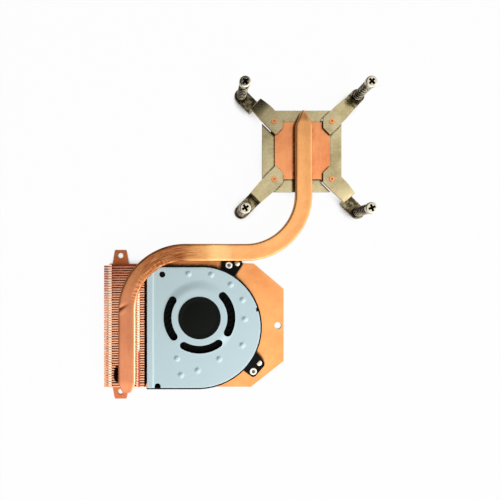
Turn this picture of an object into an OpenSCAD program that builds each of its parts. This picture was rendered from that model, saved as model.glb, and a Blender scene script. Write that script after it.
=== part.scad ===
// Heatsink with a blower for a flat desktop computer.
// A copper block is pressed on the processor by four sprung arms. One flattened heat
// pipe carries the heat to a stack of copper fins, and a blower sends air through it.
// The origin is the middle of the block's contact face, +Z points away from the board.

/* [Screw pattern] */
// Distance between neighbouring mounting screws, centre to centre
screw_pitch = 75; // [72:0.5:80]
// Diameter of the screws' thread
screw_d = 3; // [2.5:0.1:3.2]
// Diameter of the screw heads
head_d = 7; // [6:0.1:8]
// Height of the screw heads
head_t = 2.2; // [1.8:0.1:3]
// Radial clearance of a screw in its arm
screw_clearance = 0.25; // [0.15:0.05:0.4]

/* [Springs] */
// Outer diameter of the coil springs
spring_od = 6.2; // [5.6:0.1:6.8]
// Diameter of the spring wire
wire_d = 0.7; // [0.5:0.05:0.9]
// Height of a spring between arm and screw head
spring_h = 14.8; // [12:0.1:17]
// Number of turns in a spring
spring_turns = 8.5; // [6:0.5:10]

/* [Contact block] */
// Size of the copper block's flange across the board
block_w = 34.6; // [32:0.1:35]
// Size of the copper block's flange along the board
block_l = 35.7; // [32:0.1:36]
// Size of the square face that touches the processor
pedestal_w = 27.6; // [24:0.1:29]
// Height of the block from contact face to flange top
block_t = 3; // [2.6:0.1:4]
// Thickness of the block's flange
flange_t = 1; // [0.8:0.1:1.4]
// Distance between neighbouring arm rivets
rivet_pitch = 36; // [34:0.1:37]
// Diameter of the rivets' heads
rivet_head_d = 3.4; // [3:0.1:4]

/* [Spring frame] */
// Size of the steel frame across the board
frame_w = 50; // [46:0.1:52]
// Size of the steel frame along the board
frame_l = 51.4; // [46:0.1:53]
// Thickness of the steel sheet of frame and arms
steel_t = 1.2; // [1:0.1:1.4]
// Width of the slit between a flap and an arm
flap_slit = 0.8; // [0.5:0.1:1]

/* [Arms] */
// Width of an arm at the block
arm_w = 10.4; // [9.6:0.1:11]
// Width of an arm at its screw
arm_end_w = 8.9; // [8:0.1:9.5]
// Distance of an arm's inner end from the middle of the block
arm_start = 18.9; // [18.5:0.1:20]
// Distance of an arm's step from the middle of the block
arm_step_at = 42; // [40:0.1:43.5]
// Fall of an arm before its step
arm_fall = 0.8; // [0.4:0.1:1.2]
// Height of an arm's step
arm_step_h = 6.2; // [5:0.1:6.6]

/* [Heat pipe] */
// Width of the flattened heat pipe
pipe_w = 10.6; // [9:0.1:12]
// Thickness of the flattened heat pipe
pipe_t = 3.4; // [2.6:0.1:4]
// Radius of the pipe's two bends, to its middle line
bend_r = 36; // [28:0.5:36]
// Distance of the pipe's cross run from the middle of the block
cross_run = 63.8; // [62.5:0.1:64]
// Distance of the pipe's closed end from the middle of the block
pipe_tip = 24.2; // [20:0.1:25]
// Length of the pipe's tapered ends
taper_l = 9.4; // [7:0.1:11]

/* [Fins] */
// Number of fins
fin_count = 50; // [40:1:50]
// Distance from fin to fin
fin_pitch = 1.52; // [1.3:0.01:1.53]
// Thickness of the fins' sheet
fin_t = 0.25; // [0.2:0.01:0.3]
// Depth of the fins along the air's way
fin_depth = 25.5; // [24:0.1:27]
// Height of the fins
fin_h = 11.8; // [11.4:0.1:13]

/* [Base plate] */
// Thickness of the copper base plate
plate_t = 0.8; // [0.6:0.05:1]
// Height of the contact face above the underside of the base plate
plate_drop = 8.2; // [7.8:0.1:9]
// Distance of the plate's right edge from the impeller's axis
plate_right = 55.6; // [53:0.1:58]
// Distance of the plate's top edge from the impeller's axis
plate_top = 33.7; // [33.5:0.1:35]
// Distance of the plate's bottom edge from the impeller's axis
plate_bottom = 47.5; // [47:0.1:49]
// Diameter of the air inlet in the plate
inlet_d = 42; // [36:0.5:46]
// Distance between the two tab holes
tab_hole_pitch = 90; // [88:0.1:92]
// Diameter of the tab holes
tab_hole_d = 3.8; // [3:0.1:4.2]
// Diameter of the hole at the plate's right edge
plate_hole_d = 4.7; // [3:0.1:5]

/* [Blower] */
// Distance of the impeller's axis from the middle of the block, to the left
fan_x = 64.6; // [64:0.1:68]
// Distance of the impeller's axis from the middle of the block, downwards
fan_y = 104.7; // [104:0.1:108]
// Radius of the scroll where it starts
scroll_r = 32; // [31.5:0.1:32.5]
// Growth of the scroll's radius over its half turn
scroll_growth = 12.5; // [11:0.1:12.8]
// Distance of the air outlet from the impeller's axis
outlet_x = 33.2; // [32.5:0.1:34]
// Height of the blower's wall
wall_h = 10; // [9.8:0.1:11]
// Thickness of the blower's wall
wall_t = 1.4; // [1:0.1:1.8]
// Thickness of the sheet metal cover
cover_t = 0.5; // [0.4:0.05:0.6]
// Height of the raised middle of the cover
hub_rise = 0.8; // [0.5:0.1:1]
// Height of the wall's two ears above the base plate
ear_h = 4; // [3:0.1:5]

/* [Impeller] */
// Number of blades
blade_count = 37; // [25:2:41]
// Radius of the impeller over its blades
impeller_r = 28.5; // [26:0.1:29]
// Radius of the impeller's hub
hub_r = 12.8; // [12.6:0.1:13.5]
// Thickness of a blade
blade_t = 0.5; // [0.4:0.05:0.7]
// Angle by which a blade's tip trails its root
blade_sweep = 30; // [15:1:40]
// Diameter of the motor's shaft
shaft_d = 2; // [1.8:0.1:2.2]
// Radial running clearance of the shaft
shaft_clearance = 0.05; // [0.02:0.01:0.1]

/* [Hidden] */
$fn = 64;

copper = "#e08a55";
nickel = "#b8ab88";
steel = "#8f8f8f";
black_plastic = "#1c1e1c";

// Corner signs of the four arms: top right, top left, bottom left, bottom right
corners = [[1, 1], [-1, 1], [-1, -1], [1, -1]];

// Thickness of a cut that must pass right through a sheet
through = 1;
// Gap between faces that pass or nearly meet without being a fit
gap = 0.1;

// Levels along Z, from the underside of the plate to the screw heads
plate_z0 = -plate_drop;
plate_z1 = plate_z0 + plate_t;
wall_z1 = plate_z1 + wall_h;
cover_z1 = wall_z1 + cover_t;
hub_z1 = cover_z1 + hub_rise;
hub_under = hub_z1 - cover_t;
fin_z1 = plate_z1 + fin_h;
ear_z1 = plate_z1 + ear_h;
flange_z0 = block_t - flange_t;
frame_z0 = flange_z0 - steel_t;
arm_z1 = block_t + steel_t;
end_z1 = arm_z1 - arm_fall - arm_step_h;
end_z0 = end_z1 - steel_t;
head_z0 = end_z1 + spring_h;
head_z1 = head_z0 + head_t;

// Radial places on an arm's diagonal
screw_at = screw_pitch / 2 * sqrt(2);
rivet_at = rivet_pitch / 2 * sqrt(2);
fall_from = arm_step_at - 9;
arm_chamfer = 4.2;
rivet_d = rivet_head_d - 0.4;
rivet_head_h = 0.2;
ear_w = arm_w - 1.4;

// Retaining clip in its groove under the arm
clip_t = 0.5;
clip_r = screw_d / 2 + 1.2;
groove_r = screw_d / 2 - 0.3;
groove_clearance = 0.05;
clip_z1 = end_z0 - gap;
clip_z0 = clip_z1 - clip_t;

// Places in the blower's own frame, whose origin is the impeller's axis
outlet_gap = 0.7;
stack_x1 = -outlet_x - outlet_gap;
stack_x0 = stack_x1 - fin_depth;
first_fin_y = plate_top - 0.8;
last_fin_y = first_fin_y - fin_count * fin_pitch;
pipe_on_fins = stack_x0 + 14.7;
scroll_end_r = scroll_r + scroll_growth;
tab_x = stack_x0 + 7.4;
tab_hole_top = plate_top + 5.5;
tab_hole_bottom = tab_hole_top - tab_hole_pitch;
wall_rim = 0.6;
flank_r0 = 24;
flank_r1 = 17;
slot_r = 20;
slot_w = 5.1;
disc_r = 13.3;
disc_t = 0.25;

// Motor inside the impeller's hub
hub_wall = 1.1;
hub_floor_t = 1;
rotor_gap = 1.5;
hub_z0 = plate_z1 + rotor_gap;
hub_cup_z1 = wall_z1 - 1;
blade_z0 = hub_z0 + 0.3;
blade_z1 = hub_cup_z1 - 0.2;
yoke_t = 0.6;
magnet_t = 1.3;
yoke_r = hub_r - hub_wall;
magnet_r = yoke_r - yoke_t;
rotor_floor_z = hub_z0 + hub_floor_t;
stator_r = magnet_r - magnet_t - 0.3;
sleeve_r = 2.5;
board_t = 0.9;
board_r = 12;
stator_z0 = rotor_floor_z + 2;
stator_z1 = stator_z0 + 3.6;
tooth_count = 6;
tooth_w = 2;
coil_t = 0.9;

function lerp(a, b, t) = a + (b - a) * t;
function ease(t) = t * t * (3 - 2 * t);
function polar(r, a) = [r * cos(a), r * sin(a)];

// Radius of the scroll at angle a, from 90 degrees at its start to -90 at its end.
// It opens slowly at first and faster past the middle.
function scroll_radius(a, grow) =
    let(t = (90 - a) / 180)
    scroll_r + grow + scroll_growth * t - 1.1 * sin(360 * t);

// Outline of the blower, larger by grow all round, with its flat side at the outlet
function scroll_outline(grow, left) = concat(
    [[-left, -scroll_end_r - grow], [-left, scroll_r + grow]],
    [for (a = [90:-6:-90]) polar(scroll_radius(a, grow), a)]
);

module in_blower_frame() {
    translate([-fan_x, -fan_y, 0])
        children();
}

// One fin: a sheet across the stack with a folded flange at its foot and two at its
// top. Each top flange has a tongue that locks in the notch of the next fin.
lock_x = [3.7, 21.1];
lock_w = 1.3;
lock_l = 0.6;
strip_w = 2.8;

module fin_flange(x0, x1, z) {
    translate([x0, 0, z])
        cube([x1 - x0, fin_pitch - gap, fin_t]);
}

module fin() {
    top_z = fin_h - fin_t;
    seat_x0 = pipe_on_fins - stack_x0 - pipe_w / 2 - 0.6;
    difference() {
        union() {
            cube([fin_depth, fin_t, fin_h]);
            fin_flange(0, fin_depth, 0);
            fin_flange(lock_x[0] - strip_w / 2, lock_x[0] + strip_w / 2, top_z);
            fin_flange(seat_x0, lock_x[1] + strip_w / 2, top_z);
            for (x = lock_x)
                translate([x - lock_w / 2, 0, top_z])
                    cube([lock_w, fin_pitch + lock_l - gap, fin_t]);
        }
        for (x = lock_x)
            translate([x - lock_w / 2 - gap, -through, top_z - gap])
                cube([lock_w + 2 * gap, through + lock_l, through + fin_t]);
    }
}

module fin_stack() {
    color(copper)
        in_blower_frame()
            for (i = [1:fin_count])
                translate([stack_x0, first_fin_y - i * fin_pitch, plate_z1])
                    fin();
}

// Outline of the base plate with its two screw tabs, its corner cuts and its lug
// below the wall's upper ear
chamfer_top = [19.5, 16.6];
chamfer_bottom = [21.5, 17];
tab_w = 8.6;
tab_foot_w = 10.3;
tab_corner = 0.6;
tab_end = 3.6;
lug_margin = 1.8;

// Points of a tab of length l that stands up or down (way 1 or -1) from the edge at
// height y. It narrows from its foot, and its end's corners are cut.
function tab_points(y, l, way) = [
    for (p = [
        [-tab_foot_w / 2, 0], [-tab_w / 2, 0.7 * l], [tab_corner - tab_w / 2, l],
        [tab_w / 2 - tab_corner, l], [tab_w / 2, 0.7 * l], [tab_foot_w / 2, 0]
    ])
        [tab_x + way * p[0], y + way * p[1]]
];

module plate_outline() {
    // The lug reaches just past the upper ear's screw
    lug_x = wall_screw_at[0][0] + wall_screw_r;
    lug_y = wall_screw_at[0][1] + wall_screw_r + lug_margin;
    polygon(concat(
        [[stack_x0, plate_top]],
        tab_points(plate_top, tab_hole_top + tab_end - plate_top, 1),
        [
            [stack_x1, plate_top], [stack_x1, lug_y],
            [lug_x, lug_y], [lug_x + 1.6, plate_top],
            [plate_right - chamfer_top[0], plate_top],
            [plate_right, plate_top - chamfer_top[1]],
            [plate_right, -plate_bottom + chamfer_bottom[1]],
            [plate_right - chamfer_bottom[0], -plate_bottom]
        ],
        tab_points(-plate_bottom, tab_end + 0.9 - tab_hole_bottom - plate_bottom, -1),
        [[stack_x0, -plate_bottom]]
    ));
}

plate_hole_inset = 3.7;
plate_hole_at = [plate_right - plate_hole_inset, -7.1];

module base_plate() {
    color(copper)
        in_blower_frame()
            translate([0, 0, plate_z0])
                difference() {
                    linear_extrude(plate_t)
                        plate_outline();
                    translate([0, 0, -through])
                        cylinder(h = plate_t + 2 * through, d = inlet_d);
                    translate([plate_hole_at[0], plate_hole_at[1], -through])
                        cylinder(h = plate_t + 2 * through, d = plate_hole_d);
                    for (y = [tab_hole_top, tab_hole_bottom])
                        translate([tab_x, y, -through])
                            cylinder(h = plate_t + 2 * through, d = tab_hole_d);
                    for (ear = [0, 1]) {
                        translate(concat(eyelet_at[ear], -through))
                            cylinder(h = plate_t + 2 * through, r = eyelet_r + gap);
                        translate(concat(wall_screw_at[ear], -through))
                            cylinder(h = plate_t + 2 * through, r = wall_screw_r + gap);
                    }
                }
}

// Heat pipe: a row of stations along its route, each a flat-sided oval. A station
// holds the middle of the underside, the heading and the width.
function pipe_z(x) =
    let(t = (-x - bend_r - 10) / 15)
    lerp(block_t, fin_z1, ease(min(1, max(0, t))));

fins_x = -fan_x + pipe_on_fins;
fins_end_y = -fan_y + last_fin_y - 2.4;
tip_w = 1.8;
taper_steps = 5;
bend_step = 5;
slope_steps = 6;
second_bend_x = fins_x + bend_r;

function pipe_taper(x, y_tip, way, z) = [
    for (i = [0:taper_steps])
        let(t = i / taper_steps)
        [[x, y_tip - way * t * taper_l, z], -90, lerp(tip_w, pipe_w, pow(t, 0.85))]
];

function pipe_bend(centre, from, to, turn) = [
    for (a = [from:(to > from ? bend_step : -bend_step):to])
        let(p = centre + polar(bend_r, a))
        [[p[0], p[1], pipe_z(p[0])], a + turn, pipe_w]
];

function pipe_run() = [
    for (i = [1:slope_steps - 1])
        let(x = lerp(-bend_r, second_bend_x, i / slope_steps))
        [[x, -cross_run, pipe_z(x)], 180, pipe_w]
];

function reversed(v) = [for (i = [len(v) - 1:-1:0]) v[i]];

pipe_stations = concat(
    pipe_taper(0, pipe_tip, 1, block_t),
    pipe_bend([-bend_r, bend_r - cross_run], 0, -90, -90),
    pipe_run(),
    pipe_bend([second_bend_x, -cross_run - bend_r], 90, 180, 90),
    reversed(pipe_taper(fins_x, fins_end_y, -1, fin_z1))
);

side_steps = 8;

// Points of one station: a half round on each side, joined by the flat faces
function pipe_ring(station) =
    let(
        at = station[0],
        across = polar(1, station[1] - 90),
        r = min(pipe_t, station[2]) / 2,
        flat = station[2] / 2 - r
    )
    [
        for (side = [1, -1], i = [0:side_steps])
            let(
                a = side * (90 - i * 180 / side_steps),
                u = side * (flat + r * cos(a)),
                v = pipe_t / 2 * (1 + (side > 0 ? -1 : 1) * sin(a) * side)
            )
            [at[0] + across[0] * u, at[1] + across[1] * u, at[2] + v]
    ];

module heat_pipe() {
    rings = [for (s = pipe_stations) pipe_ring(s)];
    n = len(rings[0]);
    m = len(rings);
    sides = [
        for (k = [0:m - 2], i = [0:n - 1])
            [k * n + i, k * n + (i + 1) % n, (k + 1) * n + (i + 1) % n, (k + 1) * n + i]
    ];
    start = [for (i = [n - 1:-1:0]) i];
    finish = [for (i = [0:n - 1]) (m - 1) * n + i];
    color(copper)
        polyhedron(
            points = [for (ring = rings) each ring],
            faces = concat(sides, [start, finish]),
            convexity = 8
        );
}

// Contact block: a pedestal through the frame's window, a flange on the frame, and an
// ear under each arm with a boss that is staked over as a rivet
module contact_block() {
    color(copper) {
        translate([-pedestal_w / 2, -pedestal_w / 2, 0])
            cube([pedestal_w, pedestal_w, block_t]);
        translate([-block_w / 2, -block_l / 2, flange_z0])
            cube([block_w, block_l, flange_t]);
        for (c = corners)
            on_diagonal(c) {
                translate([0, -ear_w / 2, flange_z0])
                    cube([rivet_at, ear_w, flange_t]);
                translate([rivet_at, 0, flange_z0])
                    cylinder(h = flange_t, d = ear_w);
                difference() {
                    translate([rivet_at, 0, flange_z0])
                        union() {
                            cylinder(h = flange_t + steel_t + rivet_head_h, d = rivet_d);
                            translate([0, 0, flange_t + steel_t])
                                cylinder(h = rivet_head_h, d = rivet_head_d);
                        }
                    translate([rivet_at, 0, arm_z1 - 0.1])
                        cylinder(h = through, d = rivet_d * 0.4);
                }
            }
    }
}

// Turns +X to the diagonal of one corner, mirrored so that the four match
module on_diagonal(c) {
    scale([c[0], c[1], 1])
        rotate([0, 0, 45])
            children();
}

module spring_frame() {
    slot_from = 22.6;
    slot_l = frame_w;
    notch_w = arm_w + 2 * flap_slit;
    window_w = pedestal_w + 2 * gap;
    color(nickel)
        translate([0, 0, frame_z0])
            difference() {
                translate([-frame_w / 2, -frame_l / 2, 0])
                    cube([frame_w, frame_l, steel_t]);
                translate([-window_w / 2, -window_w / 2, -through])
                    cube([window_w, window_w, steel_t + 2 * through]);
                for (c = corners)
                    on_diagonal(c)
                        translate([slot_from, -notch_w / 2, -through])
                            cube([slot_l, notch_w, steel_t + 2 * through]);
            }
}

// Side view of an arm: flat on the block, a slight fall, a step down and a flat end
module arm_side() {
    far = screw_at + arm_end_w;
    fall_z = arm_z1 - arm_fall;
    polygon([
        [arm_start, block_t], [fall_from, block_t],
        [arm_step_at - steel_t, fall_z - steel_t], [arm_step_at - steel_t, end_z0],
        [far, end_z0], [far, end_z1], [arm_step_at, end_z1],
        [arm_step_at, fall_z], [fall_from, arm_z1], [arm_start, arm_z1]
    ]);
}

// Plan of an arm: one corner of its inner end is cut, and its outer end is round
module arm_plan() {
    polygon([
        [arm_start, -arm_w / 2], [fall_from, -arm_w / 2],
        [arm_step_at, -arm_end_w / 2], [screw_at, -arm_end_w / 2],
        [screw_at, arm_end_w / 2], [arm_step_at, arm_end_w / 2],
        [fall_from, arm_w / 2], [arm_start + arm_chamfer, arm_w / 2],
        [arm_start, arm_w / 2 - arm_chamfer]
    ]);
    translate([screw_at, 0])
        circle(d = arm_end_w);
}

module arm(i) {
    color(nickel)
        on_diagonal(corners[i])
            difference() {
                intersection() {
                    translate([0, 0, end_z0 - through])
                        linear_extrude(arm_z1 - end_z0 + 2 * through)
                            arm_plan();
                    translate([0, arm_w, 0])
                        rotate([90, 0, 0])
                            linear_extrude(2 * arm_w)
                                arm_side();
                }
                translate([rivet_at, 0, block_t - through])
                    cylinder(h = steel_t + 2 * through, d = rivet_d + gap);
                translate([screw_at, 0, end_z0 - through])
                    cylinder(h = steel_t + 2 * through, d = screw_d + 2 * screw_clearance);
            }
}

// Places its children at the axis of screw i
module at_screw(i) {
    translate([corners[i][0] * screw_pitch / 2, corners[i][1] * screw_pitch / 2, 0])
        children();
}

// Screw: thread with a clip groove, a lead at the tip, a low head and a cross recess
module screw(i) {
    tip_l = 0.5;
    edge = 0.6;
    recess_l = 3.6;
    recess_w = 0.9;
    recess_h = 1.2;
    r = screw_d / 2;
    color(steel)
        at_screw(i)
            difference() {
                rotate_extrude()
                    polygon([
                        [0, plate_z0], [r - tip_l, plate_z0], [r, plate_z0 + tip_l],
                        [r, clip_z0 - groove_clearance],
                        [groove_r, clip_z0 - groove_clearance],
                        [groove_r, clip_z1 + groove_clearance],
                        [r, clip_z1 + groove_clearance], [r, head_z0],
                        [head_d / 2, head_z0], [head_d / 2, head_z1 - edge],
                        [head_d / 2 - edge, head_z1], [0, head_z1]
                    ]);
                for (a = [45, 135])
                    translate([0, 0, head_z1])
                        rotate([0, 0, a])
                            cube([recess_l, recess_w, 2 * recess_h], center = true);
            }
}

// Coil spring: a wire of round section swept along a helix with closed ends
wire_sides = 7;
turn_steps = 13;

function helix_z(t) =
    let(
        dead = 0.8 / spring_turns,
        low = end_z1 + wire_d / 2,
        high = head_z0 - wire_d / 2,
        s = (t - dead) / (1 - 2 * dead)
    )
    t < dead ? low + wire_d * t / dead * 0.6
    : t > 1 - dead ? high - wire_d * (1 - t) / dead * 0.6
    : lerp(low + wire_d * 0.6, high - wire_d * 0.6, s);

module spring(i) {
    steps = ceil(spring_turns * turn_steps);
    coil_r = (spring_od - wire_d) / 2;
    rings = [
        for (k = [0:steps])
            let(t = k / steps, a = t * spring_turns * 360 + i * 90)
            [
                for (j = [0:wire_sides - 1])
                    let(
                        b = (j + 0.5) * 360 / wire_sides,
                        r = coil_r + wire_d / 2 * cos(b),
                        z = helix_z(t) + wire_d / 2 * sin(b)
                    )
                    [r * cos(a), r * sin(a), z]
            ]
    ];
    sides = [
        for (k = [0:steps - 1], j = [0:wire_sides - 1])
            [
                k * wire_sides + j, (k + 1) * wire_sides + j,
                (k + 1) * wire_sides + (j + 1) % wire_sides,
                k * wire_sides + (j + 1) % wire_sides
            ]
    ];
    start = [for (j = [0:wire_sides - 1]) j];
    finish = [for (j = [wire_sides - 1:-1:0]) steps * wire_sides + j];
    color("#3a3833")
        at_screw(i)
            polyhedron(
                points = [for (ring = rings) each ring],
                faces = concat(sides, [start, finish]),
                convexity = 10
            );
}

// Retaining clip: a ring that is open on one side and grips the screw's groove
module clip(i) {
    opening = groove_r * 1.6;
    color(steel)
        at_screw(i)
            translate([0, 0, clip_z0])
                difference() {
                    cylinder(h = clip_t, r = clip_r);
                    translate([0, 0, -through])
                        cylinder(h = clip_t + 2 * through, r = groove_r + groove_clearance);
                    translate([0, -opening / 2, -through])
                        cube([clip_r + through, opening, clip_t + 2 * through]);
                }
}

// The two ears stand on the scroll at these angles. Their places are given outwards
// from the scroll and sideways: corner points, then the eyelet, then the screw.
ear_angles = [56, -43];
ear_points = [
    [[-4, -4.7], [10.1, -4.7], [11.7, -2.7], [6.4, 8.3], [-4, 3.5]],
    [[-4, -7], [9.8, -5.6], [10.9, -4], [10.5, 5.2], [9, 6.8], [3.2, 7.8], [-4, 7.8]]
];
eyelet_place = [[4.5, 2.6], [7.6, -2.5]];
wall_screw_place = [[8.4, -1.3], [6.8, 4.1]];
eyelet_r = 1.9;
eyelet_bore_r = 1;
wall_screw_r = 1.5;
eyelet_flange = 0.3;

// Point p of an ear in the blower's frame
function on_ear(ear, p) =
    let(a = ear_angles[ear])
    polar(scroll_radius(a, 0) + p[0], a) + polar(p[1], a + 90);

eyelet_at = [for (ear = [0, 1]) on_ear(ear, eyelet_place[ear])];
wall_screw_at = [for (ear = [0, 1]) on_ear(ear, wall_screw_place[ear])];

// Black plastic wall of the blower: a scroll that opens towards the fins, a tongue
// that closes it above the outlet, and two ears that are fixed to the base plate
tongue_gap = 1.5;
tongue_r = impeller_r + tongue_gap;
tongue_foot = 3;
tongue_from = 125;

module scroll_wall_outline() {
    difference() {
        polygon(scroll_outline(wall_rim, outlet_x));
        polygon(scroll_outline(wall_rim - wall_t, outlet_x + through));
    }
    polygon(concat(
        [[-outlet_x, scroll_r], [-outlet_x, scroll_r - tongue_foot]],
        [for (a = [tongue_from:-5:90]) polar(tongue_r, a)],
        [[0, scroll_r]]
    ));
}

module fan_wall() {
    color(black_plastic)
        in_blower_frame()
            translate([0, 0, plate_z1])
                difference() {
                    union() {
                        linear_extrude(wall_h)
                            scroll_wall_outline();
                        linear_extrude(ear_h)
                            difference() {
                                for (ear = [0, 1])
                                    polygon([for (p = ear_points[ear]) on_ear(ear, p)]);
                                polygon(scroll_outline(wall_rim - wall_t / 2, outlet_x));
                            }
                    }
                    for (ear = [0, 1]) {
                        translate(concat(eyelet_at[ear], -through))
                            cylinder(h = ear_h + 2 * through, r = eyelet_r + gap);
                        translate(concat(wall_screw_at[ear], -through))
                            cylinder(h = ear_h + 2 * through, r = wall_screw_r + gap);
                    }
                }
}

// Tubular rivet that holds an ear on the base plate
module eyelet(ear) {
    color("silver")
        in_blower_frame()
            translate(concat(eyelet_at[ear], plate_z0))
                difference() {
                    union() {
                        cylinder(h = plate_t + ear_h + eyelet_flange, r = eyelet_r);
                        translate([0, 0, plate_t + ear_h])
                            cylinder(h = eyelet_flange, r = eyelet_r + 0.4);
                    }
                    translate([0, 0, -through])
                        cylinder(h = plate_t + ear_h + 2 * through, r = eyelet_bore_r);
                }
}

// Round-headed pin beside the eyelet
module wall_screw(ear) {
    head_r = wall_screw_r + 0.4;
    head_h = 0.7;
    color("silver")
        in_blower_frame()
            translate(concat(wall_screw_at[ear], plate_z0)) {
                cylinder(h = plate_t + ear_h + head_h, r = wall_screw_r);
                translate([0, 0, plate_t + ear_h])
                    cylinder(h = head_h, r1 = head_r, r2 = wall_screw_r);
            }
}

// Sheet metal cover: flat, with a raised middle that carries the motor, a raised lip
// at the outlet, three curved slots, ten pressed bumps, a hole and three notches
lip_w = 4.4;
lip_rise = 0.3;
bump_r = 2.2;
bump_h = 0.4;
bump_ring = flank_r0 + 4.4;
// Angle of each bump, and how far it lies outside the ring that most of them share
bumps = [
    [104, 0], [74.6, -0.4], [46.7, 0.2], [22.5, 0.8], [-1.8, 0], [-32.6, 3.5],
    [-64.4, 0.3], [-92, 4.7], [-107.8, 9.3], [-118.9, 0.8]
];
slot_spans = [[-27.6, 43.1], [146.9, 216.1], [240.9, 306.6]];
cover_hole_at = [9.9 - outlet_x, scroll_r - 4.9];
cover_hole_r = 1.9;
cover_notch_at = [7 - outlet_x, 1.5 - scroll_end_r];
cover_notch_r = 1.9;
edge_notch_angle = 8;
edge_notch_l = 2.4;
edge_notch_w = 0.9;

module cover_sheet() {
    lip_x = -outlet_x + lip_w;
    intersection() {
        translate([0, 0, wall_z1 - through])
            linear_extrude(cover_t + lip_rise + 2 * through)
                polygon(scroll_outline(0, outlet_x));
        translate([0, 2 * scroll_end_r, 0])
            rotate([90, 0, 0])
                linear_extrude(4 * scroll_end_r)
                    polygon([
                        [-outlet_x - through, wall_z1 + lip_rise],
                        [lip_x - lip_rise, wall_z1 + lip_rise], [lip_x, wall_z1],
                        [2 * scroll_end_r, wall_z1], [2 * scroll_end_r, cover_z1],
                        [lip_x, cover_z1], [lip_x - lip_rise, cover_z1 + lip_rise],
                        [-outlet_x - through, cover_z1 + lip_rise]
                    ]);
    }
}

// Points of an arc of n steps about a centre
function arc(centre, r, from, to, n) = [
    for (i = [0:n])
        centre + polar(r, lerp(from, to, i / n))
];

// A slot that follows the hub, with a round end at each of its two angles
module curved_slot(span) {
    r_in = slot_r - slot_w / 2;
    r_out = slot_r + slot_w / 2;
    translate([0, 0, wall_z1 - through])
        linear_extrude(hub_z1 - wall_z1 + 2 * through)
            polygon(concat(
                arc([0, 0], r_out, span[0], span[1], 14),
                arc(polar(slot_r, span[1]), slot_w / 2, span[1] + 20, span[1] + 160, 7),
                arc([0, 0], r_in, span[1], span[0], 14),
                arc(polar(slot_r, span[0]), slot_w / 2, span[0] + 200, span[0] + 340, 7)
            ));
}

module fan_cover() {
    color("#c3d9dd")
        in_blower_frame()
            difference() {
                union() {
                    difference() {
                        cover_sheet();
                        translate([0, 0, wall_z1 - through])
                            cylinder(h = cover_t + 2 * through, r = flank_r0);
                    }
                    rotate_extrude()
                        polygon([
                            [0, hub_under], [flank_r1, hub_under], [flank_r0, wall_z1],
                            [flank_r0 + 0.2, wall_z1], [flank_r0 + 0.2, cover_z1],
                            [flank_r0, cover_z1], [flank_r1, hub_z1], [0, hub_z1]
                        ]);
                    for (b = bumps)
                        translate(concat(polar(bump_ring + b[1], b[0]), cover_z1 - cover_t / 2))
                            cylinder(h = cover_t / 2 + bump_h, r1 = bump_r, r2 = bump_r / 2);
                }
                for (span = slot_spans)
                    curved_slot(span);
                translate(concat(cover_hole_at, wall_z1 - through))
                    cylinder(h = cover_t + 2 * through, r = cover_hole_r);
                translate(concat(cover_notch_at, wall_z1 - through))
                    union() {
                        cylinder(h = cover_t + 2 * through, r = cover_notch_r);
                        translate([-cover_notch_r, -3, 0])
                            cube([2 * cover_notch_r, 3, cover_t + 2 * through]);
                    }
                rotate([0, 0, edge_notch_angle])
                    translate([
                        scroll_radius(edge_notch_angle, -edge_notch_w), -edge_notch_l / 2,
                        wall_z1 - through
                    ])
                        cube([2 * edge_notch_w, edge_notch_l, cover_t + 2 * through]);
            }
}

// Plain round disc that closes the motor's seat
module hub_disc() {
    color(black_plastic)
        in_blower_frame()
            translate([0, 0, hub_z1])
                cylinder(h = disc_t, r = disc_r);
}

// Impeller: a cup over the motor and a row of thin blades that trail its turning
blade_steps = 6;

function blade_outline() =
    let(
        line = [
            for (k = [0:blade_steps])
                let(t = k / blade_steps)
                [lerp(hub_r - hub_wall / 2, impeller_r, t), blade_sweep * t * (1.4 - 0.4 * t)]
        ],
        half = [for (p = line) blade_t / 2 / p[0] * 180 / PI]
    )
    concat(
        [for (k = [0:blade_steps]) polar(line[k][0], line[k][1] - half[k])],
        [for (k = [blade_steps:-1:0]) polar(line[k][0], line[k][1] + half[k])]
    );

module impeller() {
    boss_r = 2.6;
    color("#262a28")
        in_blower_frame() {
            difference() {
                translate([0, 0, hub_z0])
                    cylinder(h = hub_cup_z1 - hub_z0, r = hub_r);
                translate([0, 0, rotor_floor_z])
                    cylinder(h = hub_cup_z1 - rotor_floor_z + through, r = yoke_r);
                translate([0, 0, hub_z0 - through])
                    cylinder(h = 2 * through + hub_floor_t, d = shaft_d);
            }
            difference() {
                translate([0, 0, hub_z0])
                    cylinder(h = hub_floor_t + 0.6, r = boss_r);
                translate([0, 0, hub_z0 - through])
                    cylinder(h = 2 * through + hub_floor_t + 0.6, d = shaft_d);
            }
            difference() {
                translate([0, 0, blade_z0])
                    linear_extrude(blade_z1 - blade_z0)
                        for (k = [0:blade_count - 1])
                            rotate([0, 0, k * 360 / blade_count])
                                polygon(blade_outline());
                translate([0, 0, hub_z0])
                    cylinder(h = hub_cup_z1 - hub_z0 + through, r = hub_r - hub_wall / 4);
            }
        }
}

module ring(z0, z1, r_out, r_in) {
    translate([0, 0, z0])
        difference() {
            cylinder(h = z1 - z0, r = r_out);
            translate([0, 0, -through])
                cylinder(h = z1 - z0 + 2 * through, r = r_in);
        }
}

module rotor_ring() {
    color("gray")
        in_blower_frame()
            ring(rotor_floor_z, hub_cup_z1 - 0.4, yoke_r, magnet_r);
}

module magnet_ring() {
    color("#333333")
        in_blower_frame()
            ring(rotor_floor_z, hub_cup_z1 - 0.8, magnet_r, magnet_r - magnet_t);
}

module shaft() {
    color("silver")
        in_blower_frame()
            translate([0, 0, hub_z0])
                cylinder(h = hub_under - hub_z0 - 0.2, d = shaft_d);
}

module bearing_sleeve() {
    color("goldenrod")
        in_blower_frame()
            ring(rotor_floor_z + 0.9, hub_under, sleeve_r, shaft_d / 2 + shaft_clearance);
}

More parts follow.
